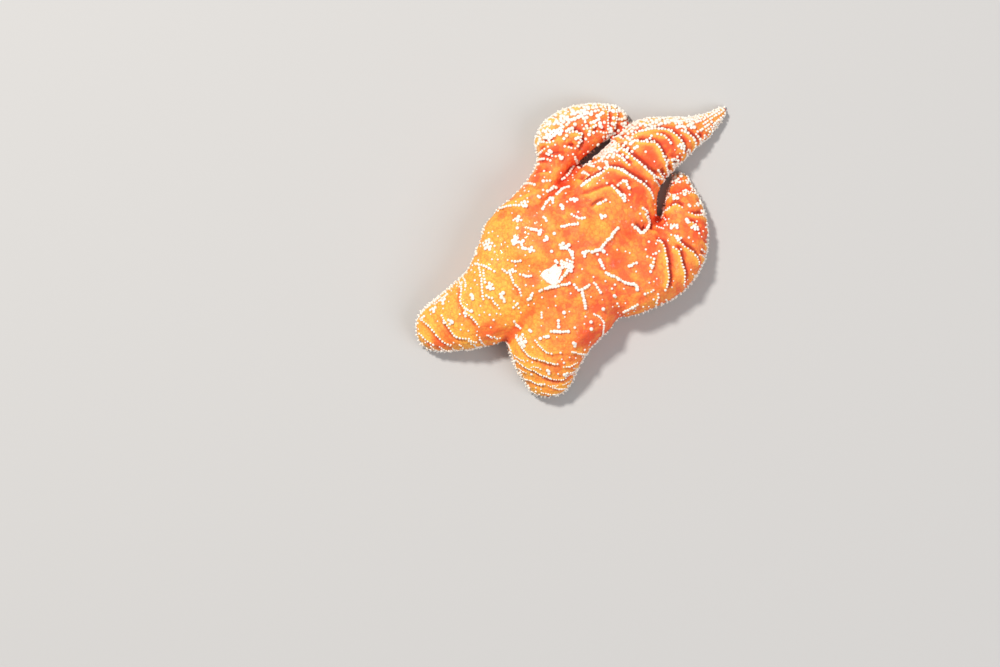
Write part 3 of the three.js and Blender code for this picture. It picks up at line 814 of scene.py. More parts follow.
def on_flank(places, arm, low, high):
    """0 on an arm's back and elsewhere, 1 on its left flank, eased between the two angles."""
    gaps = {}
    for name, other in arms.items():
        away = np.linalg.norm(places[:, None, :2] - other.path[None, ::8, :2], axis=2)
        gaps[name] = away.min(1)
        if other is arm:
            closest = away.argmin(1) * 8
    own = gaps[arm.name] <= np.minimum.reduce(list(gaps.values()))
    gap = places - arm.path[closest]
    left = np.column_stack([-arm.heading[:, 1], arm.heading[:, 0]])[closest]
    angle = np.degrees(np.arctan2((gap[:, :2] * left).sum(1), gap[:, 2]))
    share = closest / len(arm.path)
    return eased(angle, low, high) * eased(share, 0.4, 0.55) * own


def carved(skin, ridges, draw):
    """Gives the skin its lumps, ridges and pebbles. The result is its broad colouring, the star's own
    tone with the painted light and shade of its folds and patches, which the coat shares."""
    places, normals = arrays_of(skin)
    rise, crest, crease, warmth = relief(places, ridges)
    back = eased(normals[:, 2], -0.5, 0.1)
    on_arms = eased(np.hypot(places[:, 0] - mouth_at.x, places[:, 1] - mouth_at.y), 30 * MM, 60 * MM)
    lumps = noise_at(places, 45, 1) * (0.3 + 0.6 * on_arms) * MM + noise_at(places, 120, 2) * 0.5 * MM
    lift = rise + lumps
    reach = np.where(lift > 0, MOST_RISE, MOST_SINK)
    lift = reach * np.tanh(lift / reach)
    put_back(skin, places + normals * (lift * back)[:, None])
    places, normals = arrays_of(skin)
    pebble, tone = pebbles(places, draw)
    put_back(skin, places + normals * (pebble * PEBBLE_RISE * (1 - 0.5 * crest))[:, None])
    pairs = edges_of(skin)
    places, normals = arrays_of(skin)
    # how far the skin lies in a hollow or stands up: sets painted shade in hollows and painted highlight
    # on highs
    hollow = ((relaxed(places, pairs, 80) - places) * normals).sum(1) / (2 * MM)
    hollow = np.clip(relaxed(hollow, pairs, 4), -1, 1)
    flanks = [on_flank(places, arms[name], *PALE_ANGLES) for name in PALE_FLANKS]
    # warmth holds the folds' painted light and shade and the patches, partly painted; pale is the flanks'
    # own tone
    tone_and_painted_light = {"warmth": np.clip(warmth + patches(places), -1, 1), "pale": np.maximum(*flanks)}
    # crease and hollow are masks for painted shade and highlight; pebble and tone are the skin's own
    # mosaic
    grain = {"crease": crease, "pebble": pebble, "tone": tone, "hollow": hollow}
    for name, values in {**grain, **tone_and_painted_light}.items():
        attribute(skin, name, values)
    smooth_faces(skin)
    return tone_and_painted_light


# ---- Small shapes, repeated ---------------------------------------------------------------


class Knob:
    """The vertices and faces of one small shape, to be repeated at many places."""

    def __init__(self, profile, segments):
        blank = spun(profile, Vector(), segments, 0.001)
        bmesh.ops.triangulate(blank, faces=blank.faces)
        blank.verts.index_update()
        self.places = np.array([v.co for v in blank.verts])
        self.faces = np.array([[v.index for v in f.verts] for f in blank.faces])
        blank.free()


# Each profile runs from the root to the tip: the radius there, and the share of the height.
PEARL = Knob([(0.74, 0), (0.98, 0.5), (0.93, 0.8), (0.55, 0.96), (0, 1)], 10)
ROD = Knob([(0.84, 0), (0.99, 0.65), (0.88, 0.88), (0.5, 0.98), (0, 1)], 10)
THORN = Knob([(1, 0), (0.9, 0.5), (0.65, 0.85), (0.35, 0.97), (0, 1)], 6)
COLUMN = [(1, 0), (0.85, 0.3), (0.8, 0.7), (0.62, 0.88)]
SUCKER = [(1.15, 0.94), (1.2, 1), (0.5, 0.97), (0, 0.97)]
FOOT = Knob(COLUMN + SUCKER, 8)


# Where a small shape stands: its root, way out, radius, height and place on the bake map.
Spot = namedtuple("Spot", "root way radius height flat")


def sunk(root, way, radius, height, flat):
    """A spot whose root is let into the skin."""
    return Spot(root - way * SUNK, way, radius, height + SUNK, flat)


def repeated(name, knob, spots, draw):
    """One mesh of a knob at every spot, with a patch for each on the bake map."""
    count, corners = len(spots), len(knob.places)
    places = np.empty((count, corners, 3))
    flats = np.empty((count, corners, 2))
    for i, spot in enumerate(spots):
        turn = np.array(spot.way.to_track_quat("Z", "Y").to_matrix())
        shape = knob.places * (spot.radius, spot.radius, spot.height)
        shape = shape @ turn.T + np.array(spot.root)
        shape -= np.maximum(shape.max(0) - np.array(cad_box[1]), 0)
        places[i] = shape + np.maximum(np.array(cad_box[0]) - shape.min(0), 0)
        flats[i] = np.array(spot.flat) + knob.places[:, :2] * PATCH / 2
    faces = (knob.faces[None] + (np.arange(count) * corners)[:, None, None]).reshape(-1, 3)
    mesh = bpy.data.meshes.new(name)
    mesh.from_pydata(places.reshape(-1, 3), [], faces)
    smooth_faces(mesh)
    bake = mesh.uv_layers.new(name="OFBake")
    bake.uv.foreach_set("vector", flats.reshape(-1, 2)[faces.ravel()].astype(np.float32).ravel())
    bake.active_render = True
    attribute(mesh, "rise", np.tile(knob.places[:, 2], count))
    attribute(mesh, "tone", np.repeat([draw.random() for _ in spots], corners))
    below = [skin_points.find(spot.root)[1] for spot in spots]
    # the skin's colouring under each root, painted light and shade of the folds included
    for name, values in tone_and_painted_light.items():
        attribute(mesh, name, np.repeat(values[below], corners))
    return mesh


class Roots:
    """Places taken so far, so that no two shapes stand in each other."""

    def __init__(self, cell):
        self.cell = cell
        self.taken = {}

    def key(self, place):
        return tuple(int(math.floor(v / self.cell)) for v in place)

    def free(self, place, gap):
        i, j, k = self.key(place)
        near = ((i + a, j + b, k + c) for a in (-1, 0, 1) for b in (-1, 0, 1) for c in (-1, 0, 1))
        return all((place - other).length > gap for cell in near for other in self.taken.get(cell, ()))

    def take(self, place):
        self.taken.setdefault(self.key(place), []).append(place.copy())


# ---- The coat of spines -------------------------------------------------------------------


class Coat:
    """The spines of the back and flanks, in a group for each arm and one for the disc."""

    def __init__(self, skin, draw):
        self.skin = skin
        self.draw = draw
        self.roots = Roots(3 * MM)
        self.pearls = {name: [] for name in ("disc",) + ARMS}
        self.rods = {name: [] for name in ARMS}

    def settled(self, place, normal):
        """The finished skin's place under a place on the smooth one."""
        hit, *_ = self.skin.ray_cast(place + normal * 4 * MM, -normal, 8 * MM)
        return hit or place

    def home(self, root):
        """The group that a root belongs to, and its place on the bake map."""
        from_mouth = (root - mouth_at).to_2d()
        if from_mouth.length < DISC_RADIUS:
            slope = (root.z - cad_box[1][2]) / max(from_mouth.length, MM)
            unrolled = math.hypot(1, slope) / DISC_WIDTH
            return "disc", (0.5 + from_mouth.x * unrolled, 0.5 + from_mouth.y * unrolled)
        arm = arm_of(root)
        share, angle = arm.share_and_angle(root)
        return arm.name, (0.02 + 0.96 * share, 0.5 + angle / ROUND_AN_ARM)

    def plant(self, place, size, gap, tall=1.0, rod=False):
        """One spine, where there is room for it."""
        normal = smooth_skin.find_nearest(place)[1]
        root = self.settled(place, normal)
        if not self.roots.free(root, gap) or on_madreporite(root):
            return
        self.roots.take(root)
        name, flat = self.home(root)
        way = (normal + shake(self.draw, TOUSLED)).normalized()
        radius = size * self.draw.uniform(0.78, 1.18)
        height = tall * radius * self.draw.uniform(1.0, 1.25)
        outside = hull.ray_cast(root + way * 0.01 * MM, way)[3] or 2 * MM
        height = min(height, max(outside - GROWTH + (0 if rod else 0.5 * MM), 0.7 * MM))
        group = self.rods[name] if rod and name != "disc" else self.pearls[name]
        group.append(sunk(root, way, radius, height, flat))

    def bead(self, ridge):
        """Spines along a ridge, in runs of a few with gaps between them."""
        beaded = runs(self.draw, ridge.beads, (3, 7), (1, 4))
        for place, on in zip(evenly(ridge.places, ridge.step), beaded):
            if on:
                place = Vector(place)
                shift = shake(self.draw, 0.2 * MM)
                away = (place - mouth_at).to_2d().length
                far = min(max((away - SLENDER_FROM) / SLENDER_OVER, 0), 1)
                self.plant(place + shift, ridge.bead * (1 - 0.2 * far), 1.15 * ridge.bead)

    def cluster(self, x, y, count):
        """A few spines close together, about a given point."""
        for i in range(count):
            turn = i * 2.4
            away = 1.15 * math.sqrt(i)
            hit, _ = on_back(mouth_at.x + (x + away * math.cos(turn)) * MM,
                             mouth_at.y + (y + away * math.sin(turn)) * MM)
            if hit:
                self.plant(hit, CLUSTER_SPINE, CLUSTER_GAP)

    def margin(self, arm, side, angles, start, end, size, tall, full):
        """Rows of rods along one flank of an arm, full or in runs with gaps between them."""
        row = np.arange(start * arm.length, end * arm.length, max(1.5 * size, 2.05 * MM))
        for angle in angles:
            for along, on in zip(row, runs(self.draw, full, (2, 4), (2, 4))):
                turn = side * (angle + self.draw.uniform(-2, 2))
                spot = arm.on_skin(along + self.draw.uniform(-0.4, 0.4) * MM, turn)
                if on and spot and spot[0].z > 3 * MM and not in_notch(spot[0]):
                    self.plant(spot[0], size, 1.25 * size, tall=tall, rod=True)

    def scatter(self, places, normals):
        """Small single spines between the chains, more of them on the arms than on the disc."""
        order = [i for i in range(len(places)) if normals[i, 2] > -0.1 and places[i, 2] > 4 * MM]
        for i in self.draw.sample(order, SINGLE_SPINES):
            place = Vector(places[i])
            away = (place - mouth_at).to_2d().length
            steep = 0.5 * (normals[i, 2] < 0.5)
            if self.draw.random() < 0.25 + steep + away / (90 * MM) and not in_notch(place):
                self.plant(place, self.draw.uniform(0.6, 0.95) * MM, SINGLE_GAP)


# ---- Beneath ------------------------------------------------------------------------------


def from_below(x, y):
    """The finished skin's place and normal, seen from beneath."""
    hit, normal, *_ = carved_skin.ray_cast(Vector((x, y, -1)), UP)
    return hit, normal


class Groove:
    """The groove beneath an arm, traced on the skin from the mouth to the tip."""

    def __init__(self, arm):
        offsets = np.linspace(-8, 8, 33) * MM
        self.rows = []
        middle = 0
        for along in np.arange(GROOVE_START, arm.length - GROOVE_END, 1 * MM):
            place, _, left = arm.at(along)
            level = []
            for offset in offsets:
                hit, _ = from_below(*(place + left * (middle + offset)).xy)
                level.append(hit.z if hit and hit.z < 14 * MM else 0)
            level = np.array(level)
            inside = np.maximum(level - 0.45 * level.max() - 0.55 * np.median(level), 0)
            middle += (inside * offsets).sum() / max(inside.sum(), 1e-9)
            half = 0.5 * (inside > 0).sum() * (offsets[1] - offsets[0])
            self.rows.append([along, middle, half])
        self.rows = np.array(self.rows)
        for column in (1, 2):
            padded = np.pad(self.rows[:, column], 4, mode="edge")
            self.rows[:, column] = np.convolve(padded, np.ones(9) / 9, "valid")
        self.arm = arm

    def place(self, along, share):
        """A place across the groove: 0 is its middle, -1 and 1 are its edges."""
        middle = np.interp(along, self.rows[:, 0], self.rows[:, 1])
        half = np.interp(along, self.rows[:, 0], self.rows[:, 2])
        start, _, left = self.arm.at(along)
        return start + left * (middle + share * half), left

    def steps(self, step):
        return np.arange(self.rows[0, 0], self.rows[-1, 0], step)


def plan_flat(place):
    """A place on the bake map of the flat underside."""
    return 0.5 + place.x / SOLE_WIDTH, 0.5 + place.y / SOLE_WIDTH


def tube_feet(groove, draw):
    """Four rows of feet, from the groove's roof down to the floor."""
    spots = []
    for row, share in enumerate(FOOT_ROWS):
        for along in groove.steps(FOOT_STEP):
            offset = row % 2 * FOOT_STEP / 2 + draw.uniform(-0.2, 0.2) * MM
            spot, left = groove.place(along + offset, share)
            hit, _ = from_below(spot.x, spot.y)
            if hit and hit.z > 2.4 * MM:
                way = (-UP + left * (share * 0.18 + draw.uniform(-0.06, 0.06))).normalized()
                height = (hit.z - draw.uniform(0.15, 0.6) * MM) / -way.z
                spots.append(sunk(hit, way, FOOT_RADIUS, height, plan_flat(hit)))
    return spots


def groove_spines(groove, roots, draw):
    """Slender spines that line the groove and lean over it."""
    spots = []
    for share, lean in LINING_ROWS:
        for side in (-1, 1):
            for along in groove.steps(LINING_STEP):
                spot, left = groove.place(along + draw.uniform(-0.2, 0.2) * MM, side * share)
                hit, _ = from_below(spot.x, spot.y)
                if hit and hit.z < 9 * MM and roots.free(hit, 1 * MM):
                    roots.take(hit)
                    way = (-UP - left * side * lean + shake(draw, 0.06)).normalized()
                    height = min(hit.z / -way.z - 0.05 * MM, 3.4 * MM)
                    spots.append(sunk(hit, way, LINING_RADIUS, height, plan_flat(hit)))
    return spots


def oral_spines(places, normals, roots, draw):
    """Short blunt spines over the rest of the underside, down to the floor that it rests on."""
    order = [i for i in range(len(places)) if normals[i, 2] < -0.25 and places[i, 2] < 7 * MM]
    draw.shuffle(order)
    spots = []
    for i in order:
        place = Vector(places[i])
        if not roots.free(place, ORAL_GAP):
            continue
        roots.take(place)
        flatness = min(max((-normals[i, 2] - 0.25) / 0.6, 0), 1)
        way = (Vector(normals[i]) * (1 - 0.75 * flatness) - UP * 0.75 * flatness).normalized()
        way = (way + shake(draw, 0.07)).normalized()
        height = min((place.z - 0.02 * MM) / max(-way.z, 0.2), 2.6 * MM)
        spots.append(sunk(place, way, ORAL_RADIUS, height, plan_flat(place)))
    return spots


# ---- Small pieces -------------------------------------------------------------------------


def on_madreporite(place):
    """Whether a place lies on the madreporite or close to its rim."""
    away = place - madreporite_at
    c, s = math.cos(MADREPORITE_TURN), math.sin(MADREPORITE_TURN)
    long, wide = MADREPORITE_HALF
    out = math.hypot((away.x * c + away.y * s) / long, (away.y * c - away.x * s) / wide)
    return place.z > 20 * MM and out < 1.08


def madreporite_mesh():
    """A pale cushion laid over the back, cut by fine grooves that wander out from its middle."""
    blank = bmesh.new()
    bmesh.ops.create_uvsphere(blank, u_segments=240, v_segments=40, radius=1)
    grooves = []
    c, s = math.cos(MADREPORITE_TURN), math.sin(MADREPORITE_TURN)
    for vertex in blank.verts:
        out = math.hypot(vertex.co.x, vertex.co.y)
        around = math.atan2(vertex.co.y, vertex.co.x)
        wander = noise.noise(Vector((vertex.co.x * 2.6, vertex.co.y * 2.6, 3))) * 9
        fork = 9 if out < 0.3 else 18 if out < 0.6 else 36
        cut = (0.5 + 0.5 * math.cos(around * fork + wander + out * 5)) ** 3 * min(out * 3, 1)
        grooves.append(cut)
        swell = 1 + 0.5 * noise.noise(Vector((vertex.co.x * 1.5, vertex.co.y * 1.5, 8)))
        x = vertex.co.x * MADREPORITE_HALF[0] * swell
        y = vertex.co.y * MADREPORITE_HALF[1] * swell * (1 - 0.2 * vertex.co.x)
        place = madreporite_at + Vector((x * c - y * s, x * s + y * c, 0))
        ground, *_ = carved_skin.ray_cast(Vector((place.x, place.y, 1)), -UP)
        rise = 0.4 * MM * vertex.co.z
        if vertex.co.z > 0:
            rise = MADREPORITE_RISE * vertex.co.z**0.6 - MADREPORITE_CUT * cut
        vertex.co = ground + UP * (rise - MADREPORITE_SUNK)
    mesh = mesh_from(blank, "madreporite")
    attribute(mesh, "groove", grooves)
    return mesh


def mouth_mesh():
    """The thin skin round the mouth, in pleats that run in to a small opening."""
    low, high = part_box("mouth")
    under = [(1, 1), (1.15, 0.75), (1.6, 0.42), (2.6, 0.22), (4.2, 0.12), (6.2, 0.1), (8.6, 0.14)]
    profile = [(radius * MM, low.z + (high.z - low.z) * rise) for radius, rise in under]
    profile += [(MOUTH_RIM, low.z + 0.8 * MM), (MOUTH_RIM, high.z), (1 * MM, high.z)]
    blank = spun(profile, mouth_at, 7 * MOUTH_PLEATS, 0.01 * MM)
    depth = []
    for vertex in blank.verts:
        away = vertex.co - mouth_at
        out = away.to_2d().length
        # how near the opening, for its painted shade
        depth.append(1 - min(out / (3 * MM), 1))
        if vertex.co.z < high.z - 0.3 * MM:
            around = math.atan2(away.y, away.x)
            wander = 3 * noise.noise(away * 400)
            pleat = math.sin(around * MOUTH_PLEATS + wander) * min(out / (4 * MM), 1)
            vertex.co.z += 0.3 * MM * pleat
    mesh = mesh_from(blank, "mouth")
    attribute(mesh, "depth", depth)
    return mesh


def mouth_spines(roots, draw):
    """A fan of long spines at each corner between two grooves, leaning in over the mouth."""
    ways = sorted(math.atan2(*reversed((arm.at(25 * MM)[0] - mouth_at).xy)) for arm in arms.values())
    spots = []
    for here, after in zip(ways, ways[1:] + [ways[0] + 2 * math.pi]):
        for i in range(-3, 4):
            turn = (here + after) / 2 + i * 0.085 * (after - here)
            out = Vector((math.cos(turn), math.sin(turn), 0))
            hit, _ = from_below(*(mouth_at + out * (12.4 + 0.5 * abs(i)) * MM).xy)
            if hit and hit.z < 9 * MM:
                roots.take(hit)
                reach = draw.uniform(3.6, 4.4) * MM
                way = (-out * 1.1 - UP * 0.9 + shake(draw, 0.08)).normalized()
                height = min(reach, (hit.z - 0.1 * MM) / -way.z)
                spots.append(sunk(hit, way, FOOT_RADIUS, height, plan_flat(hit)))
    return spots


def eyespot_mesh(arm):
    """The red cushion at an arm's tip, set into the skin."""
    node = box_middle(f"eyespot_{arm}")
    base, normal, *_ = carved_skin.find_nearest(node)
    blank = bmesh.new()
    bmesh.ops.create_uvsphere(blank, u_segments=24, v_segments=16, radius=1)
    turn = normal.to_track_quat("Z", "Y").to_matrix()
    for vertex in blank.verts:
        bumps = 1 + 0.06 * noise.cell(vertex.co * 3.3)
        shape = vertex.co * Vector(EYESPOT_HALF) * bumps * MM
        vertex.co = base + turn @ (shape + Vector((0, 0, 0.2 * MM)))
    return mesh_from(blank, f"eyespot_{arm}")


# ---- Materials ----------------------------------------------------------------------------


def fill(tree, socket, value):
    """Links a socket, or sets its value."""
    if isinstance(value, bpy.types.NodeSocket):
        tree.links.new(value, socket)
    else:
        socket.default_value = value


def maths(tree, kind, *values):
    made = tree.nodes.new("ShaderNodeMath")
    made.operation = kind
    for socket, value in zip(made.inputs, values):
        fill(tree, socket, value)
    return made.outputs[0]


def ranged(tree, value, low, high, start=0, end=1):
    """The value's place between low and high, eased, as a number from start to end."""
    made = tree.nodes.new("ShaderNodeMapRange")
    made.interpolation_type = "SMOOTHSTEP"
    for name, number in (("From Min", low), ("From Max", high), ("To Min", start), ("To Max", end)):
        made.inputs[name].default_value = number
    tree.links.new(value, made.inputs["Value"])
    return made.outputs[0]


def blended(tree, factor, a, b):
    made = tree.nodes.new("ShaderNodeMix")
    made.data_type = "RGBA"
    fill(tree, made.inputs[0], factor)
    fill(tree, made.inputs[6], a)
    fill(tree, made.inputs[7], b)
    return made.outputs[2]


def noise_of(tree, coords, scale, detail=2):
    made = tree.nodes.new("ShaderNodeTexNoise")
    made.inputs["Scale"].default_value = scale
    made.inputs["Detail"].default_value = detail
    tree.links.new(coords, made.inputs["Vector"])
    return made.outputs["Fac"]


def read(tree, name):
    """One of the mesh's own attributes."""
    made = tree.nodes.new("ShaderNodeAttribute")
    made.attribute_name = name
    return made.outputs["Fac"]


def ground(tree, coords):
    """Orange, yellower to the west and south, partly the star's own tone and partly painted light on its
    lit side, mottled with yellow and flushed with red.
    """
    # yellower to the west and south: partly painted light
    slant = tree.nodes.new("ShaderNodeVectorMath")
    slant.operation = "DOT_PRODUCT"
    slant.inputs[1].default_value = (-0.95, -0.3, 0)
    tree.links.new(coords, slant.inputs[0])
    patches = maths(tree, "MULTIPLY_ADD", noise_of(tree, coords, 32), 0.1, slant.outputs["Value"])
    yellow = ranged(tree, patches, 0.05, 0.125)
    warm = blended(tree, yellow, ORANGE, YELLOW)
    mottle = ranged(tree, noise_of(tree, coords, 130, 3), 0.4, 0.66)
    warm = blended(tree, maths(tree, "MULTIPLY", mottle, 0.5), warm, YELLOW)
    flush = ranged(tree, noise_of(tree, coords, 55), 0.5, 0.75, 0, 0.6)
    flush = maths(tree, "MULTIPLY", flush, maths(tree, "MULTIPLY_ADD", yellow, -0.7, 1.0))
    return blended(tree, flush, warm, RED)


def mosaic(tree, warm, start, grain):
    """Each pebble in a tone of its own, with redder seams between them, paler on the flanks."""
    warm = blended(tree, ranged(tree, start["Warmth"], -1, 0, 0.85, 0), warm, YELLOW)
    warm = blended(tree, ranged(tree, start["Warmth"], 0, 1, 0, 0.9), warm, RED)
    warm = blended(tree, ranged(tree, start["Tone"], 0.5, 1, 0, 0.35), warm, YELLOW)
    warm = blended(tree, ranged(tree, start["Tone"], 0, 0.45, 0.3, 0), warm, RED)
    seam = maths(tree, "SUBTRACT", 1.0, start["Pebble"])
    seam = maths(tree, "MULTIPLY_ADD", seam, 0.3, ranged(tree, grain, 0.2, 0.75, 0, 0.3))
    stone = blended(tree, seam, warm, RED)
    return blended(tree, maths(tree, "MULTIPLY", start["Pale"], 0.8), stone, CREAM)


def folded(tree, stone, start):
    """Painted light and shade of the folds: a yellower painted highlight where the skin stands up, redder
    painted shade in its hollows and dark painted shade in its creases.
    """
    high = ranged(tree, start["Hollow"], -0.45, -0.02, 0.6, 0)
    high = maths(tree, "MULTIPLY", high, ranged(tree, start["Warmth"], 0, 0.6, 1, 0.1))
    stone = blended(tree, high, stone, YELLOW)
    stone = blended(tree, ranged(tree, start["Hollow"], 0, 0.5, 0, 0.75), stone, RED)
    deep = ranged(tree, start["Hollow"], 0.25, 1)
    deep = maths(tree, "MULTIPLY_ADD", deep, 0.5, start["Crease"])
    return blended(tree, ranged(tree, deep, 0.1, 1.1, 0, 0.85), stone, PAINTED_CREASE_SHADE)


def markings_and_shading_group():
    """The star's colours, pale beneath, with the painted light and shade of its folds and hollows, and
    its roughness, for the skin and the coat alike. Its inputs are named for the attributes that feed
    them. Height is the skin's finest grain."""
    group = bpy.data.node_groups.new("star_markings_and_shading", "ShaderNodeTree")
    plain = {"Pebble": 0.6, "Tone": 0.5, "Crease": 0.0, "Hollow": 0.0, "Warmth": 0.0, "Pale": 0.0}
    for name, value in plain.items():
        socket = group.interface.new_socket(name, in_out="INPUT", socket_type="NodeSocketFloat")
        socket.default_value = value
    for name, kind in (("Color", "Color"), ("Roughness", "Float"), ("Height", "Float")):
        group.interface.new_socket(name, in_out="OUTPUT", socket_type=f"NodeSocket{kind}")
    start = group.nodes.new("NodeGroupInput").outputs
    end = group.nodes.new("NodeGroupOutput").inputs
    coords = group.nodes.new("ShaderNodeTexCoord").outputs["Object"]
    cells = group.nodes.new("ShaderNodeTexVoronoi")
    cells.inputs["Scale"].default_value = 900
    group.links.new(coords, cells.inputs["Vector"])
    grain = cells.outputs["Distance"]
    star = folded(group, mosaic(group, ground(group, coords), start, grain), start)
    split = group.nodes.new("ShaderNodeSeparateXYZ")
    group.links.new(coords, split.inputs[0])
    beneath = ranged(group, split.outputs["Z"], 0.003, 0.008, 0.75, 0)
    rough = ranged(group, noise_of(group, coords, 260), 0.3, 0.7, 0.5, 0.7)
    fill(group, end["Color"], blended(group, beneath, star, PALE))
    fill(group, end["Roughness"], rough)
    fill(group, end["Height"], grain)
    return group


def new_material(name, finish):
    """A material with plain values on its shader's own sockets."""
    made = bpy.data.materials.new(name)
    made.use_nodes = True
    inputs = made.node_tree.nodes["Principled BSDF"].inputs
    for socket, value in finish.items():
        inputs[socket].default_value = value
    return made, made.node_tree, inputs


def marked(tree, *names):
    """The markings and painted shading in a material's own tree, fed by the mesh's attributes."""
    made = tree.nodes.new("ShaderNodeGroup")
    made.node_tree = markings_and_shading
    for name in ("warmth", "pale") + names:
        tree.links.new(read(tree, name), made.inputs[name.title()])
    return made


def bumped(tree, inputs, height, distance, strength):
    bump = tree.nodes.new("ShaderNodeBump")
    bump.inputs["Distance"].default_value = distance
    bump.inputs["Strength"].default_value = strength
    tree.links.new(height, bump.inputs["Height"])
    tree.links.new(bump.outputs["Normal"], inputs["Normal"])


def skin_material():
    """Wet skin with a fine grain, glossy in small patches."""
    made, tree, inputs = new_material("wet_skin", {
        "Coat Roughness": 0.08,
        "Specular IOR Level": 0.3,
        "Subsurface Weight": 0.1,
        "Subsurface Radius": (1, 0.3, 0.1),
        "Subsurface Scale": 2 * MM,
    })
    star = marked(tree, "pebble", "crease", "hollow", "tone")
    tree.links.new(star.outputs["Color"], inputs["Base Color"])
    tree.links.new(star.outputs["Roughness"], inputs["Roughness"])
    bumped(tree, inputs, star.outputs["Height"], 0.25 * MM, 0.6)
    coords = tree.nodes.new("ShaderNodeTexCoord").outputs["Object"]
    wet = ranged(tree, noise_of(tree, coords, 420, 2), 0.55, 0.68, 0, 0.6)
    tree.links.new(wet, inputs["Coat Weight"])
    return made


def spine_material():
    """Limy white, taking the skin's colour round the root, its painted light and shade included."""
    finish = {"Roughness": 0.38, "Coat Weight": 0.4, "Coat Roughness": 0.15}
    made, tree, inputs = new_material("spines", finish)
    star = marked(tree)
    tone = read(tree, "tone")
    clean = ranged(tree, maths(tree, "MULTIPLY_ADD", tone, 0.3, read(tree, "rise")), 0.2, 0.55)
    lime = blended(tree, ranged(tree, tone, 0.5, 1, 0, 0.35), LIME, BUFF)
    tree.links.new(blended(tree, clean, star.outputs["Color"], lime), inputs["Base Color"])
    return made


def madreporite_material():
    """Lime, with painted shade that makes the grooves browner."""
    finish = {"Roughness": 0.5, "Coat Weight": 0.25, "Coat Roughness": 0.2}
    made, tree, inputs = new_material("madreporite", finish)
    groove = ranged(tree, read(tree, "groove"), 0.2, 0.9, 0, 0.75)
    tree.links.new(blended(tree, groove, LIME, PAINTED_GROOVE_SHADE), inputs["Base Color"])
    return made


def mouth_material():
    """Thin flesh, with painted shade darkening it in the opening."""
    made, tree, inputs = new_material("mouth", {"Roughness": 0.35, "Coat Weight": 0.4})
    tree.links.new(blended(tree, read(tree, "depth"), FLESH_TONE, OPENING_SHADE), inputs["Base Color"])
    return made


def feet_material():
    """Clear amber columns with paler suckers."""
    finish = {"Roughness": 0.3, "Subsurface Weight": 0.2, "Subsurface Scale": 1 * MM}
    made, tree, inputs = new_material("tube_feet", finish)
    sucker = ranged(tree, read(tree, "rise"), 0.84, 0.95)
    column = blended(tree, read(tree, "tone"), AMBER, PALE_AMBER)
    tree.links.new(blended(tree, sucker, column, SUCKER_TONE), inputs["Base Color"])
    return made


def eyespot_material():
    """Dark red, finely spotted."""
    made, tree, inputs = new_material("eyespot", {"Roughness": 0.25})
    coords = tree.nodes.new("ShaderNodeTexCoord").outputs["Object"]
    spots = ranged(tree, noise_of(tree, coords, 1500), 0.45, 0.6)
    tree.links.new(blended(tree, spots, CRIMSON, MAROON), inputs["Base Color"])
    return made


# ---- Floor, light and camera --------------------------------------------------------------


def lamp(name, place, size, power, colour):
    """A soft square lamp that faces the star."""
    light = bpy.data.lights.new(name, "AREA")
    light.size = size
    light.energy = power
    light.color = colour
    holder = bpy.data.objects.new(name, light)
    holder.location = place
    holder.rotation_euler = (-Vector(place)).to_track_quat("-Z", "Y").to_euler()
    bpy.context.scene.collection.objects.link(holder)


def studio():
    """A pale floor, a warm key lamp, a cool fill and a dim sky."""
    bpy.ops.mesh.primitive_plane_add(size=6, location=(0, 0, 0))
    floor = bpy.context.object
    pale, _, _ = new_material("floor", {"Base Color": FLOOR, "Roughness": 0.7})
    floor.data.materials.append(pale)
    lamp("key", KEY_AT, 0.45, 148, (1, 0.97, 0.92))
    lamp("fill", FILL_AT, 2.0, 48, (0.97, 0.97, 1))
    world = bpy.data.worlds.new("studio")
    world.use_nodes = True
    sky = world.node_tree.nodes["Background"].inputs
    sky["Color"].default_value = (0.95, 0.97, 1, 1)
    sky["Strength"].default_value = 0.4
    bpy.context.scene.world = world


def camera():
    """Straight above the star, which lies up and to the right of the middle of the view."""
    lens = bpy.data.cameras.new("camera")
    lens.lens = LENS
    lens.sensor_width = 36
    lens.clip_end = 20
    holder = bpy.data.objects.new("camera", lens)
    holder.location = CAMERA_AT
    bpy.context.scene.collection.objects.link(holder)
    bpy.context.scene.camera = holder
    bpy.context.scene.view_settings.view_transform = "Standard"


# ---- The star -----------------------------------------------------------------------------


def all_ridges(draw):
    """The listed chains, and the ridges of the flanks."""
    ridges = []
    for name, chains in CHAINS.items():
        for fold, beads, points in chains:
            ridges.append(chain_ridge(arms.get(name), BEADS[name], fold, beads, points))
    for name, (start, wide, tight, bow, fold, bare_back, bare_right) in FLANKS.items():
        sizes = [start * MM, wide * MM, tight * MM, bow * MM, fold * MM]
        ridges += flank_ridges(arms[name], draw, *sizes, bare_back, bare_right)
    return ridges


def spined_back(ridges, places, normals, draw):
    """The coat of the back and flanks: chains first, then clusters, margins and single spines."""
    coat = Coat(carved_skin, draw)
    for ridge in ridges:
        coat.bead(ridge)
    for x, y, count in CLUSTERS:
        coat.cluster(x, y, count)
    for name, side, angles, start, end, size, tall, full in MARGINS:
        coat.margin(arms[name], side, angles, start, end, size * MM, tall, full)
    coat.scatter(places, normals)
    return coat


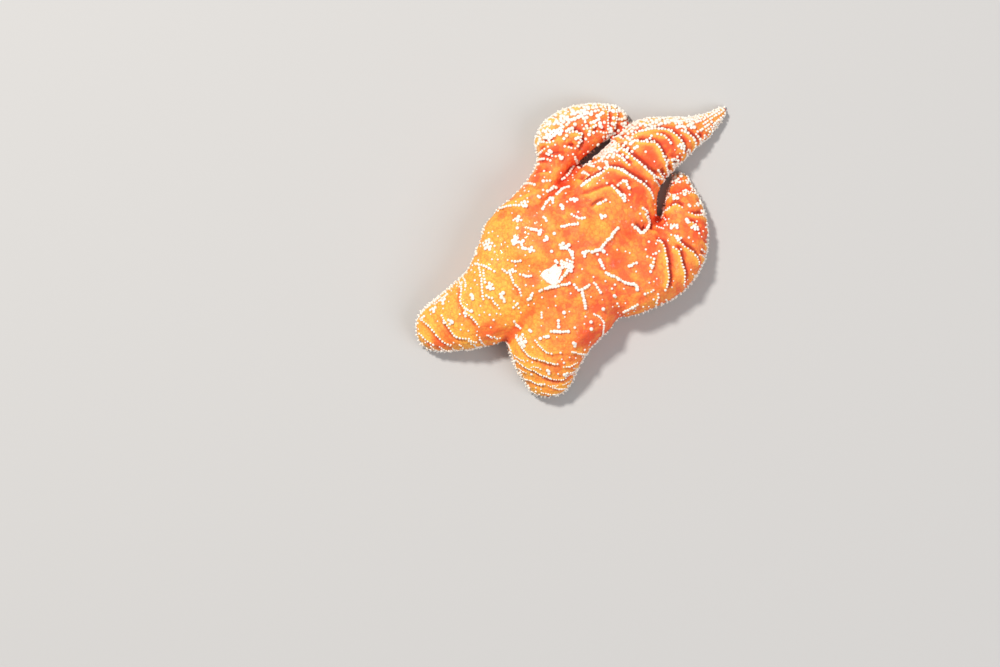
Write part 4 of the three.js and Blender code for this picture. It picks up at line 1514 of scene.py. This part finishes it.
def spined_beneath(places, normals, draw):
    """The spots of the feet, of the spines that line the grooves and mouth, and of the rest."""
    grooves = [Groove(arm) for arm in arms.values()]
    feet = [spot for groove in grooves for spot in tube_feet(groove, draw)]
    roots = Roots(3 * MM)
    for spot in feet:
        roots.take(spot.root)
    lining = mouth_spines(roots, draw)
    for groove in grooves:
        lining += groove_spines(groove, roots, draw)
    return feet, lining, oral_spines(places, normals, roots, draw)


def coat_piece(name, knob, spots, draw, material):
    object_from(name, repeated(name, knob, spots, draw), material)


# The functions above share the mouth's and the madreporite's places, the markings and painted shading,
# the hull that the coat reaches out to, the smooth and the carved skin with its colouring and painted
# light, and the arms.
draw = random.Random(7)
mouth_at = box_middle("mouth")
madreporite_at = box_middle("madreporite") - MADREPORITE_SHIFT
markings_and_shading = markings_and_shading_group()

skin, hull = skin_blank()
smooth_skin = tree_of(skin)
arms = {name: Arm(name, smooth_skin) for name in ARMS}
ridges = all_ridges(draw)
tone_and_painted_light = carved(skin, ridges, draw)
carved_skin = tree_of(skin)
places, normals = arrays_of(skin)
skin_points = KDTree(len(places))
for i, place in enumerate(places):
    skin_points.insert(place, i)
skin_points.balance()
skin_piece = object_from("skin", skin, skin_material())
thinning = skin_piece.modifiers.new("thinning", "DECIMATE")
thinning.ratio = KEPT_FACES
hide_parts(*FLESH)

coat = spined_back(ridges, places, normals, draw)
white = spine_material()
for name, spots in coat.pearls.items():
    coat_piece(f"spines_{name}", PEARL, spots, draw, white)
for name, spots in coat.rods.items():
    coat_piece(f"rods_{name}", ROD, spots, draw, white)
feet, lining, oral = spined_beneath(places, normals, draw)
coat_piece("tube_feet", FOOT, feet, draw, feet_material())
coat_piece("groove_spines", THORN, lining, draw, white)
coat_piece("oral_spines", PEARL, oral, draw, white)

pale = madreporite_material()
madreporite = object_from("madreporite_cushion", madreporite_mesh(), pale)
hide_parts("madreporite")
mouth = object_from("mouth_membrane", mouth_mesh(), mouth_material())
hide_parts("mouth")
red = eyespot_material()
for name in ARMS:
    eyespot = object_from(f"eyespot_cushion_{name}", eyespot_mesh(name), red)
    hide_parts(f"eyespot_{name}")

studio()
camera()
